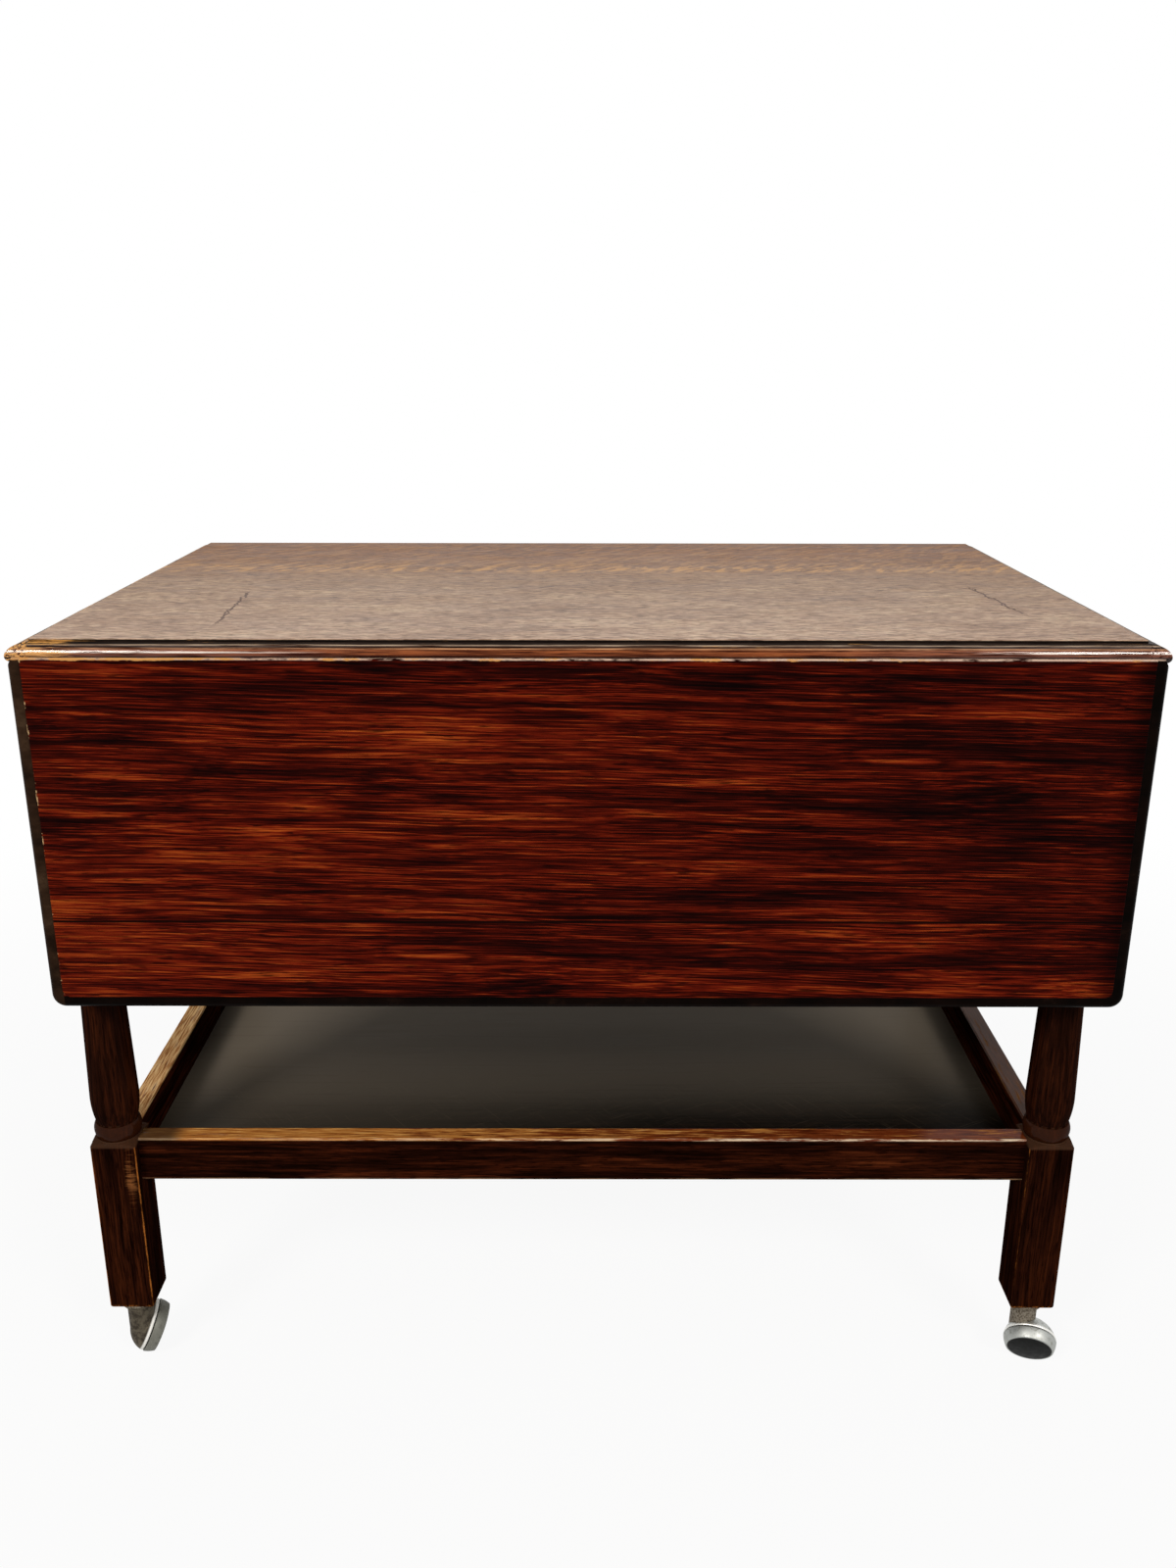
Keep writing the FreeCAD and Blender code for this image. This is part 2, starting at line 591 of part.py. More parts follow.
def leaf_outline(inset, radius):
    """Leaf seen from the front: square at the hinge, rounded at the two free corners."""
    half = f"({LEAF_END} - {inset})"
    low = f"({Z_PIN} - leaf_reach + {inset})"
    return [
        line(f"{half} - {radius}", low),
        arc(half, f"{low} + {radius}", (f"{half} - {radius}", f"{low} + {radius}"), True),
        line(half, f"{Z_PIN} - rule_play"),
        line(f"-{half}", f"{Z_PIN} - rule_play"),
        line(f"-{half}", f"{low} + {radius}"),
        arc(f"-{half} + {radius}", low, (f"-{half} + {radius}", f"{low} + {radius}"), True),
    ]


def build_leaf(side, recesses, drills):
    """Hanging leaf: stepped round on three edges and the hollow half of the rule joint."""
    body = new_body(f"{side}_leaf_blank")
    back = f"-({Y_LEAF_BACK})"
    board = pad(body, f"{side}_leaf_board",
                sketch_on(body, f"{side}_leaf_outline", "XZ", leaf_outline("0", "leaf_corner"), back),
                "top_thickness - leaf_step")
    face, top_edge = number(Y_LEAF_STEP), number(f"{Z_PIN} - rule_play")

    def moulded(middle, _direction):
        return abs(middle.y - face) < TOLERANCE and middle.z < top_edge - TOLERANCE

    soften(body, f"{side}_leaf_round", board, "leaf_moulding", moulded)
    flat = sketch_on(body, f"{side}_leaf_flat_outline", "XZ",
                     leaf_outline("leaf_rim", "leaf_flat_corner"), f"-({Y_LEAF_STEP})")
    raised = pad(body, f"{side}_leaf_flat", flat, "leaf_step")
    outer_face = number(f"{Y_LEAF_BACK} - top_thickness")
    soften(body, f"{side}_leaf_arris", raised, "edge_softening",
           lambda middle, _direction: abs(middle.y - outer_face) < TOLERANCE)
    hollow = "(rule_radius + rule_play)"
    cove = [
        line(f"{Y_PIN} - {hollow}", Z_PIN),
        arc(Y_PIN, f"{Z_PIN} - {hollow}", (Y_PIN, Z_PIN), True),
        line(f"{Y_LEAF_BACK} + {PAST}", f"{Z_PIN} - {hollow}"),
        line(f"{Y_LEAF_BACK} + {PAST}", f"{Z_PIN} + {PAST}"),
        line(f"{Y_PIN} - {hollow}", f"{Z_PIN} + {PAST}"),
    ]
    pocket_through(body, f"{side}_leaf_cove", sketch_on(body, f"{side}_cove", "YZ", cove))
    leaf = keep(f"{side}_leaf", cut(f"{side}_leaf", body, recesses + drills))
    return turned_side(leaf, side)


def build_stops(side):
    """Two hardwood stops glued under the leaf, just beyond the tips of the raised arms."""
    near = f"({TIP_REACH} + stop_play)"
    stops = []
    for end, x in ARM_ENDS[side].items():
        stops.append(block(f"{side}_{end}_stop",
                           (f"({x}) - stop_length / 2", f"({x}) + stop_length / 2"),
                           (Y_LEAF_BACK, f"{Y_LEAF_BACK} + stop_thickness"),
                           (f"{Z_PIN} - {near} - stop_depth", f"{Z_PIN} - {near}")))
    turned_side(keep(f"{side}_leaf_stops", group(f"{side}_leaf_stops", stops)), side)


def build_arm(side, end, x):
    """Support arm that hangs on its pin behind the leaf, with a rounded head and a square tip."""
    body = new_body(f"{side}_{end}_arm_blank")
    half = "arm_thickness / 2"
    outline = [
        line(f"{Y_ARM_PIN} - {half}", f"{Z_ARM_PIN} - {ARM_LENGTH}"),
        line(f"{Y_ARM_PIN} + {half}", f"{Z_ARM_PIN} - {ARM_LENGTH}"),
        line(f"{Y_ARM_PIN} + {half}", Z_ARM_PIN),
        arc(f"{Y_ARM_PIN} - {half}", Z_ARM_PIN, (Y_ARM_PIN, Z_ARM_PIN), True),
    ]
    sketch = sketch_on(body, f"{side}_{end}_arm_outline", "YZ", outline, x)
    pad(body, f"{side}_{end}_arm_width", sketch, "arm_width", middle=True)
    bore = rod(f"{side}_{end}_arm_bore", "arm_pin_radius + running_play", f"arm_width + 2 * {PAST}",
               (f"({x}) - arm_width / 2 - {PAST}", Y_ARM_PIN, Z_ARM_PIN), "x")
    turned_side(keep(f"{side}_{end}_arm", cut(f"{side}_{end}_arm", body, [bore])), side)


def build_bracket(side, end, x, frame_screws):
    """Steel bracket on the apron: plate, two ears, and the pin that the arm turns on."""
    name = f"{side}_{end}_bracket"
    inner = "(arm_width / 2 + bracket_side_play)"
    outer = f"({inner} + bracket_plate)"
    reach = f"({outer} + bracket_flange)"
    round_radius = "(arm_thickness / 2)"
    plate = block(f"{name}_plate", (f"({x}) - {reach}", f"({x}) + {reach}"),
                  (f"{Y_APRON} - bracket_plate", Y_APRON),
                  (f"{Z_ARM_PIN} - bracket_height / 2", f"{Z_ARM_PIN} + bracket_height / 2"))
    parts = [plate]
    for ear, low in (("a", f"({x}) - {outer}"), ("b", f"({x}) + {inner}")):
        parts.append(block(f"{name}_ear_{ear}", (low, f"{low} + bracket_plate"),
                           (Y_ARM_PIN, f"{Y_APRON} - bracket_plate / 2"),
                           (f"{Z_ARM_PIN} - {round_radius}", f"{Z_ARM_PIN} + {round_radius}")))
        parts.append(rod(f"{name}_round_{ear}", round_radius, "bracket_plate",
                         (low, Y_ARM_PIN, Z_ARM_PIN), "x"))
    pin_start = f"(({x}) - {outer})"
    shaft = rod(f"{name}_shaft", "arm_pin_radius", f"2 * {outer}", (pin_start, Y_ARM_PIN, Z_ARM_PIN), "x")
    heads = [
        rod(f"{name}_head_a", "pin_head_radius", "pin_head_height",
            (f"{pin_start} - pin_head_height", Y_ARM_PIN, Z_ARM_PIN), "x"),
        rod(f"{name}_head_b", "pin_head_radius", "pin_head_height",
            (f"{pin_start} + 2 * {outer}", Y_ARM_PIN, Z_ARM_PIN), "x"),
    ]
    pin = fuse(f"{name}_pin", [shaft] + heads)
    holes = []
    for sign in ("-", "+"):
        for height in ("-", "+"):
            start = (f"({x}) {sign} ({outer} + bracket_flange / 2)", f"{Y_APRON} - bracket_plate",
                     f"{Z_ARM_PIN} {height} bracket_height / 4")
            holes.append((start, frame_screws.add(start, "y", side)))
    drills = [copy_of(frame_screws.plain, f"{name}_drill{index}", start, "y")
              for index, (start, _hole) in enumerate(holes)]
    turned_side(keep(name, cut(name, fuse(f"{name}_blank", parts), [shaft] + drills)), side)
    return turned_side(pin, side), [hole for _start, hole in holes]


# --- the frame -----------------------------------------------------------------------------------

def build_leg_blank(name, sign_x, sign_y):
    """Leg on its own axis: square blocks, turned shoulders, bead, neck, tapered shaft and ring."""
    body = new_body(f"{name}_blank")
    half = "leg_square / 2"
    square = [line(half, f"-{half}"), line(half, half), line(f"-{half}", half), line(f"-{half}", f"-{half}")]
    lower = pad(body, f"{name}_lower_block",
                sketch_on(body, f"{name}_foot_square", "XY", square, "leg_bottom"),
                "lower_block_top - leg_bottom")

    def upright(_middle, direction):
        return abs(direction.z) > 0.99

    rounded = soften(body, f"{name}_lower_arrises", lower, "leg_arris", upright)
    foot = number("leg_bottom")
    soften(body, f"{name}_foot_arrises", rounded, "foot_arris",
           lambda middle, _direction: abs(middle.z - foot) < TOLERANCE)
    upper_bottom = f"({Z_UNDER} - apron_height - upper_block_margin)"
    pad(body, f"{name}_upper_block",
        sketch_on(body, f"{name}_head_square", "XY", square, upper_bottom),
        f"{Z_UNDER} - {upper_bottom}")
    for part, height, sign in (("lower", "lower_block_top", "-"), ("upper", upper_bottom, "+")):
        triangle = [
            line(half, height),
            line("leg_square", height),
            line("leg_square", f"{height} {sign} shoulder_rake * leg_square / 2"),
        ]
        revolve(body, f"{name}_{part}_shoulder",
                sketch_on(body, f"{name}_{part}_shoulder_outline", "XZ", triangle), "Groove")
    bead_low = "(lower_block_top + base_height)"
    bead_high = f"({bead_low} + bead_height)"
    bead_foot = "(bead_radius - bead_swell)"
    ring_foot = "(ring_radius - ring_swell)"
    widest = f"({bead_high} + bulb_rise)"
    ring_low = f"({upper_bottom} - ring_height)"
    turning = [
        line("0", "lower_block_top - turning_root"),
        line("base_radius", "lower_block_top - turning_root"),
        line("base_radius", bead_low),
        line(bead_foot, bead_low),
        arc(bead_foot, bead_high,
            (f"{bead_foot} - ((bead_height / 2) ^ 2 - bead_swell ^ 2) / (2 * bead_swell)",
             f"({bead_low} + {bead_high}) / 2"), True),
        line("neck_radius", bead_high),
        arc("bulb_radius", widest,
            (f"bulb_radius - (bulb_rise ^ 2 + (bulb_radius - neck_radius) ^ 2)"
             f" / (2 * (bulb_radius - neck_radius))", widest), True),
        line("shaft_top_radius", ring_low),
        line(ring_foot, ring_low),
        arc(ring_foot, upper_bottom,
            (f"{ring_foot} - ((ring_height / 2) ^ 2 - ring_swell ^ 2) / (2 * ring_swell)",
             f"({ring_low} + {upper_bottom}) / 2"), True),
        line(ring_foot, f"{upper_bottom} + turning_root"),
        line("0", f"{upper_bottom} + turning_root"),
    ]
    revolve(body, f"{name}_turning", sketch_on(body, f"{name}_turned_outline", "XZ", turning))
    bind(body, "Placement.Base.x", f"frame_shift + {sign_x} * {LEG_X}")
    bind(body, "Placement.Base.y", f"{sign_y} * {LEG_Y}")
    return body


def tenoned_board(name, along_x, across, z, shoulder):
    """Board between two legs with a tenon at each end; across gives its limits over the thickness."""
    inner = INNER_X if along_x else INNER_Y
    middle = "frame_shift" if along_x else "0"
    low, high = across
    centre = f"(({low}) + ({high})) / 2"
    run = (f"{middle} - {inner}", f"{middle} + {inner}")
    tenon_run = (f"{middle} - {inner} - tenon_length", f"{middle} + {inner} + tenon_length")
    tenon_across = (f"{centre} - tenon_thickness / 2", f"{centre} + tenon_thickness / 2")
    tenon_z = (f"{z[0]} + {shoulder}", f"{z[1]} - {shoulder}")
    if along_x:
        parts = [block(f"{name}_board", run, across, z),
                 block(f"{name}_tenons", tenon_run, tenon_across, tenon_z)]
    else:
        parts = [block(f"{name}_board", across, run, z),
                 block(f"{name}_tenons", tenon_across, tenon_run, tenon_z)]
    return fuse(f"{name}_blank", parts)


def band(edge, setback, thickness, sign, middle):
    """Low and high limits of a board set back from a frame face."""
    outer = f"({edge} - {setback})"
    inner = f"({outer} - {thickness})"
    if sign > 0:
        return f"{middle} + {inner}", f"{middle} + {outer}"
    return f"{middle} - {outer}", f"{middle} - {inner}"


def build_rails(prefix, z, long_setback, short_setback, thickness, shoulder):
    """Four tenoned boards round the frame at one height."""
    boards = {}
    for name, sign in (("front", -1), ("back", 1)):
        across = band(FRAME_Y, long_setback, thickness, sign, "0")
        boards[name] = tenoned_board(f"{name}_{prefix}", True, across, z, shoulder)
    for name, sign in (("left", -1), ("right", 1)):
        across = band(FRAME_X, short_setback, thickness, sign, "frame_shift")
        boards[name] = tenoned_board(f"{name}_{prefix}", False, across, z, shoulder)
    return boards


def round_top(name, blank):
    """Soften the two long top edges of a tray rail."""
    DOC.recompute()
    top = number("lower_block_top")
    chosen = []
    for index, edge in enumerate(blank.Shape.Edges, start=1):
        box = edge.BoundBox
        at_top = abs(box.ZMin - top) < TOLERANCE and abs(box.ZMax - top) < TOLERANCE
        if at_top and edge.Length > 2 * number("rail_thickness"):
            chosen.append((index, number("rail_arris"), number("rail_arris")))
    fillet = DOC.addObject("Part::Fillet", f"{name}_rounded")
    fillet.Base = blank
    fillet.Edges = chosen
    return fillet


def build_tray(small_screw, leg_blanks):
    """Four rails and the thin floor that is let into them from below and screwed."""
    rails = build_rails("tray_rail", (RAIL_BOTTOM, "lower_block_top"), "long_rail_setback",
                        "short_rail_setback", "rail_thickness", "rail_tenon_shoulder")
    edge_x = f"({FRAME_X} - short_rail_setback - rail_thickness + floor_let_in)"
    edge_y = f"({FRAME_Y} - long_rail_setback - rail_thickness + floor_let_in)"
    panel = block("tray_floor_blank", (f"frame_shift - {edge_x}", f"frame_shift + {edge_x}"),
                  (f"-{edge_y}", edge_y), (RAIL_BOTTOM, FLOOR_TOP))
    screws = ScrewSet("tray_screws", small_screw)
    pitch = f"({INNER_X} - long_rail_screw_inset) / 2"
    for sign in ("-", "+"):
        y = f"0 {sign} ({edge_y} - floor_let_in / 2)"
        for step in (-2, -1, 0, 1, 2):
            screws.add((f"frame_shift + {step} * {pitch}", y, RAIL_BOTTOM))
        x = f"frame_shift {sign} ({edge_x} - floor_let_in / 2)"
        for step in ("-", "+"):
            screws.add((x, f"0 {step} ({INNER_Y} - short_rail_screw_inset)", RAIL_BOTTOM))
    for name, blank in rails.items():
        label = f"{name}_tray_rail"
        keep(label, cut(label, round_top(label, blank), [panel] + screws.holes))
    keep("tray_floor", cut("tray_floor", panel, leg_blanks + screws.holes))
    screws.finish()
    return list(rails.values())


def build_aprons(frame_holes):
    """Four aprons under the top; returns their blanks, which also cut the mortises."""
    z = (f"{Z_UNDER} - apron_height", Z_UNDER)
    boards = build_rails("apron", z, "apron_setback", "apron_setback", "apron_thickness",
                         "apron_tenon_shoulder")
    for name, blank in boards.items():
        holes = frame_holes.get(name)
        keep(f"{name}_apron", cut(f"{name}_apron", blank, holes) if holes else blank)
    return list(boards.values())


def build_fixing_blocks(pattern):
    """Glue blocks inside the long aprons, each with a long screw up into the top."""
    screws = ScrewSet("top_screws", pattern)
    face = f"({FRAME_Y} - apron_setback - apron_thickness)"
    outer = f"({INNER_X} - fixing_block_inset)"
    blanks = []
    for side, sign in (("front", "-"), ("back", "+")):
        for index, x in enumerate((f"-{outer}", "0", outer)):
            near, far = f"0 {sign} ({face} - fixing_block_width)", f"0 {sign} {face}"
            limits = (far, near) if sign == "-" else (near, far)
            blanks.append(block(f"{side}_fixing_block{index}",
                                (f"({x}) - fixing_block_length / 2", f"({x}) + fixing_block_length / 2"),
                                limits, (f"{Z_UNDER} - fixing_block_height", Z_UNDER)))
            screws.add((x, f"0 {sign} ({face} - fixing_block_width / 2)",
                        f"{Z_UNDER} - fixing_block_height"))
    blocks = [cut(f"fixing_block_{index}", blank, [hole])
              for index, (blank, hole) in enumerate(zip(blanks, screws.holes))]
    keep("top_fixing_blocks", group("top_fixing_blocks", blocks))
    screws.finish()
    return screws.holes


# --- the casters -----------------------------------------------------------------------------

def wheel_outline():
    """Half section of the wheel: spherical tread, low crown, hollow inside and a blind hub."""
    tread_end = "sqrt(ball_radius ^ 2 - wheel_band ^ 2)"
    rim = "sqrt(ball_radius ^ 2 - half_gap ^ 2)"
    crown = "(wheel_depth - wheel_band)"
    centre = f"wheel_band - (({tread_end}) ^ 2 - {crown} ^ 2) / (2 * {crown})"
    bore = "(axle_radius + running_play)"
    bore_end = "(wheel_depth - hub_wall)"
    web = "(wheel_band - wheel_wall / 2)"
    return [
        line(bore, "half_gap"),
        line("hub_radius", "half_gap"),
        line("hub_radius", web),
        line(f"{tread_end} - wheel_wall", web),
        line(f"{rim} - wheel_wall", "half_gap"),
        line(rim, "half_gap"),
        arc(tread_end, "wheel_band", ("0", "0"), True),
        arc("0", "wheel_depth", ("0", centre), True),
        line("0", bore_end),
        line(bore, bore_end),
    ]


def hood_outline():
    """Half section of the hood: a flattened half ball of sheet metal with a hub for the axle."""
    inside = f"({DOME_RADIUS} - hood_wall)"
    lip = f"({DOME_CENTRE} + half_gap)"
    rim = f"sqrt({DOME_RADIUS} ^ 2 - {lip} ^ 2)"
    inner_rim = f"sqrt({inside} ^ 2 - {lip} ^ 2)"
    hub_foot = f"{DOME_CENTRE} - sqrt({inside} ^ 2 - hub_radius ^ 2)"
    hub_end = "-2 * half_gap"
    hole_end = "-(hood_depth - hub_wall)"
    return [
        line("0", "-hood_depth"),
        arc(rim, "-half_gap", ("0", DOME_CENTRE), True),
        line(inner_rim, "-half_gap"),
        arc("hub_radius", hub_foot, ("0", DOME_CENTRE), False),
        line("hub_radius", hub_end),
        line("axle_radius", hub_end),
        line("axle_radius", hole_end),
        line("0", hole_end),
    ]


def axle_outline():
    """Half section of the axle, from the hood's blind hub to just short of the wheel's."""
    start, end = "-(hood_depth - hub_wall)", "(wheel_depth - hub_wall - axle_end_play)"
    return [line("0", start), line("axle_radius", start), line("axle_radius", end), line("0", end)]


def turned_piece(name, outline, centre, lean):
    """Body turned about the ball's axle, set at the ball's centre."""
    body = new_body(name)
    revolve(body, f"{name}_turning", sketch_on(body, f"{name}_outline", "XZ", outline))
    body.Placement = FreeCAD.Placement(FreeCAD.Vector(), lean)
    for letter, place in zip("xyz", centre):
        bind(body, f"Placement.Base.{letter}", place)
    return body


def build_caster(corner, sign_x, sign_y, heading):
    """Ball caster under one leg; returns the solid socket that cuts the leg's hole."""
    name = f"{corner}_caster"
    stem_x, stem_y = f"(frame_shift + {sign_x} * {LEG_X})", f"({sign_y} * {LEG_Y})"
    axis = (stem_x, stem_y)
    flange = rod(f"{name}_flange", "flange_radius", "flange_height", (*axis, FLANGE_BOTTOM))
    sleeve = rod(f"{name}_sleeve", "socket_radius", "stem_top + socket_end - leg_bottom",
                 (*axis, "leg_bottom"))
    socket = fuse(f"{name}_socket_blank", [flange, sleeve])
    bore = rod(f"{name}_socket_bore", "stem_radius + running_play",
               f"stem_top + 2 * {PAST} - leg_bottom + flange_height",
               (*axis, f"{FLANGE_BOTTOM} - {PAST}"))
    keep(f"{corner}_caster_socket", cut(f"{name}_socket", socket, [bore]))
    stem = rod(f"{name}_stem", "stem_radius", "stem_top - stem_root", (*axis, "stem_root"))
    keep(f"{corner}_caster_stem", stem)

    along, across = f"cos({heading} deg)", f"sin({heading} deg)"
    centre = (f"{stem_x} + ball_outset * {along} - ball_trail * {across}",
              f"{stem_y} + ball_outset * {across} + ball_trail * {along}", "ball_radius")
    lean = FreeCAD.Rotation(UP, heading) * FreeCAD.Rotation(FreeCAD.Vector(0, 1, 0),
                                                            90 + number("axle_tilt"))

    shell = turned_piece(f"{name}_shell", hood_outline(), centre, lean)
    neck = fuse(f"{name}_neck_blank", [
        rod(f"{name}_neck_tube", "neck_tube_radius", f"{CAP_TOP} - neck_root", (*axis, "neck_root")),
        rod(f"{name}_neck_cap", "neck_cap_radius", "neck_cap_height",
            (*axis, f"{CAP_TOP} - neck_cap_height")),
    ])
    hollow = DOC.addObject("Part::Sphere", f"{name}_hollow")
    bind(hollow, "Radius", f"{DOME_RADIUS} - hood_wall / 2")
    level = f"{DOME_CENTRE} * cos(axle_tilt * 1 deg)"
    shifts = (f"{level} * {along}", f"{level} * {across}", f"-{DOME_CENTRE} * sin(axle_tilt * 1 deg)")
    for letter, place, shift in zip("xyz", centre, shifts):
        bind(hollow, f"Placement.Base.{letter}", f"{place} + {shift}")
    hood = fuse(f"{name}_hood_blank", [shell, cut(f"{name}_neck", neck, [hollow])])
    keep(f"{corner}_caster_hood", cut(f"{name}_hood", hood, [stem]))

    keep(f"{corner}_caster_axle", turned_piece(f"{name}_axle", axle_outline(), centre, lean))
    keep(f"{corner}_caster_wheel", turned_piece(f"{name}_wheel", wheel_outline(), centre, lean))
    return socket


# --- the whole trolley -------------------------------------------------------------------------

def build():
    """Draw every piece."""
    fill_sheet()
    small_screw = screw_pattern("small_screw", "screw_head_radius", "screw_head_height",
                                "screw_shank_radius", "screw_length")
    long_screw = screw_pattern("long_screw", "long_screw_head_radius", "long_screw_head_height",
                               "long_screw_shank_radius", "long_screw_length")
    frame_screws = ScrewSet("fixing_screws", small_screw)
    gain = build_hinge_gain()
    gains, apron_holes, arm_pins = [], {}, []
    for side in SIDES:
        gains += [copy_of(gain, f"{side}_gain{index}", (x, "0", "0"), "z", side)
                  for index, x in enumerate(HINGE_PLACES)]
        recesses, drills = build_hinges(side, small_screw, frame_screws)
        build_leaf(side, recesses, drills)
        build_stops(side)
    top_holes = list(frame_screws.holes)
    for side in SIDES:
        apron_holes[side] = []
        for end, x in ARM_ENDS[side].items():
            build_arm(side, end, x)
            pin, holes = build_bracket(side, end, x, frame_screws)
            arm_pins.append(pin)
            apron_holes[side] += holes
    keep("arm_pins", group("arm_pins", arm_pins))
    frame_screws.finish()
    top_holes += build_fixing_blocks(long_screw)
    build_top(gains, top_holes)
    apron_blanks = build_aprons(apron_holes)
    legs = {corner: build_leg_blank(f"{corner}_leg", sign_x, sign_y)
            for corner, sign_x, sign_y, _heading in CORNERS}
    rail_blanks = build_tray(small_screw, list(legs.values()))
    for corner, sign_x, sign_y, heading in CORNERS:
        socket = build_caster(corner, sign_x, sign_y, heading)
        near = [b for b in apron_blanks + rail_blanks
                if corner.split("_")[0] in b.Name or corner.split("_")[1] in b.Name]
        keep(f"{corner}_leg", cut(f"{corner}_leg", legs[corner], near + [socket]))


def check():
    """Stop if any object failed or any piece isn't a sound solid."""
    DOC.recompute()
    for item in DOC.Objects:
        if "Invalid" in item.State or "Error" in item.State:
            raise RuntimeError(f"{item.Name} failed: {item.State}")
    for name, item in PIECES.items():
        shape = item.Shape
        if shape.isNull() or not shape.isValid() or not shape.Solids:
            raise RuntimeError(f"{name} has no sound shape")


def export():
    """Write one file for each piece."""
    os.makedirs("parts", exist_ok=True)
    for name, item in PIECES.items():
        item.Shape.exportStep(f"parts/{name}.step")


build()
check()
export()
print(len(PIECES), "pieces")
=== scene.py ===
"""Dressed model of a drop-leaf tea trolley in fumed oak, with rule-jointed leaves and ball casters.

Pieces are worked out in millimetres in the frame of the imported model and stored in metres.
"""
import json
import logging
import math
from dataclasses import dataclass
from enum import Enum

import bmesh
import bpy
import numpy as np
from mathutils import Euler, Matrix, Vector

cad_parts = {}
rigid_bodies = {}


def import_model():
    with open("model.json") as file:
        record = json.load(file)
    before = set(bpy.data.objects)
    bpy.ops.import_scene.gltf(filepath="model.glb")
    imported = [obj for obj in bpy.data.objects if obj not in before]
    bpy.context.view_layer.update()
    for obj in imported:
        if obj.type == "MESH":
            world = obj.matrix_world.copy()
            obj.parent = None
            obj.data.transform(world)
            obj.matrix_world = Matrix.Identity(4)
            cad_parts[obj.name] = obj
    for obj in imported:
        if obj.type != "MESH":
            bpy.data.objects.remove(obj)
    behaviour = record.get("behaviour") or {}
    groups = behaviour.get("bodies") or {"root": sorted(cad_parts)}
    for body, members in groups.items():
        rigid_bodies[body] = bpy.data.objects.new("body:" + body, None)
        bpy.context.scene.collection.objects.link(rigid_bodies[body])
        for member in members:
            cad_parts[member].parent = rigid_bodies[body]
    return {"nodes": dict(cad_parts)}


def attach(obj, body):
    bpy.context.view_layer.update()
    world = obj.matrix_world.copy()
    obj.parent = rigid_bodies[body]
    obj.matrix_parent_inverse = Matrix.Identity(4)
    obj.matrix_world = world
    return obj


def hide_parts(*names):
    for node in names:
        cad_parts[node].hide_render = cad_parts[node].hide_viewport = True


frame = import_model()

LOG = logging.getLogger("tea_trolley")
MM = 0.001
WELD = 1e-6  # metres: points nearer to each other than this become one
CREASE = 38  # degrees: edges that turn more than this stay sharp
Row = tuple[str, str, dict, dict]

# Settings and rows of nodes that many materials share.
SMOOTH = {"interpolation_type": "SMOOTHSTEP"}
COLOUR = {"data_type": "RGBA"}
STAIN = {"data_type": "RGBA", "blend_type": "MULTIPLY"}
PLUS = {"operation": "ADD"}
MINUS = {"operation": "SUBTRACT"}
TIMES = {"operation": "MULTIPLY"}
TIMES_PLUS = {"operation": "MULTIPLY_ADD"}
UNSIGNED = {"operation": "ABSOLUTE"}
HIGHER = {"operation": "MAXIMUM"}
IN_MM: list[Row] = [
    ("place", "TexCoord", {}, {}),
    ("mm", "Mapping", {}, {"Vector": "place:Object", "Scale": (1000, 1000, 1000)}),
]
SEEN: list[Row] = [
    ("path", "LightPath", {}, {}),
    ("direct", "Math", HIGHER, {0: "path:Is Camera Ray", 1: "path:Is Glossy Ray"}),
    ("seen", "Math", HIGHER, {0: "direct", 1: "path:Is Transmission Ray"}),
]


# --- shared tools --------------------------------------------------------------------------

def tone(code: str) -> tuple[float, float, float, float]:
    """Turn an sRGB hex colour to linear.

    Args:
        code: Six hex digits after a hash sign.

    Returns:
        Linear red, green and blue, and an alpha of one.
    """
    channels = (int(code[i:i + 2], 16) / 255 for i in (1, 3, 5))
    red, green, blue = (c / 12.92 if c <= 0.04045 else ((c + 0.055) / 1.055) ** 2.4 for c in channels)
    return red, green, blue, 1.0


def lay(owner: bpy.types.Material | bpy.types.World, rows: list[Row]) -> None:
    """Give a material or a world its nodes, and join them.

    Args:
        owner: The material or the world.
        rows: For each node its name, its type, its settings and its inputs. An input given as text is
            a link from the node of that name, and "name:Output" picks one of its outputs. "From" and
            "To" take both ends of a span.
    """
    owner.use_nodes = True
    tree = owner.node_tree
    tree.nodes.clear()
    made: dict[str, bpy.types.Node] = {}
    for name, kind, settings, inputs in rows:
        made[name] = item = tree.nodes.new(f"ShaderNode{kind}")
        for key, value in settings.items():
            if key == "ramp":
                while len(item.color_ramp.elements) < len(value):
                    item.color_ramp.elements.new(0.5)
                for stop, (place, code) in zip(item.color_ramp.elements, value):
                    stop.position, stop.color = place, tone(code)
            else:
                setattr(item, key, value)
        for key, value in inputs.items():
            span = key in ("From", "To")
            ends = {f"{key} Min": value[0], f"{key} Max": value[1]} if span else {key: value}
            for socket, worth in ends.items():
                taker = item.inputs[socket] if isinstance(socket, int) else \
                    next(s for s in item.inputs if s.enabled and s.name == socket)
                if isinstance(worth, str):
                    giver, _, output = worth.partition(":")
                    outlets = (s for s in made[giver].outputs if s.enabled)
                    tree.links.new(next(s for s in outlets if s.name == output or not output), taker)
                else:
                    taker.default_value = worth


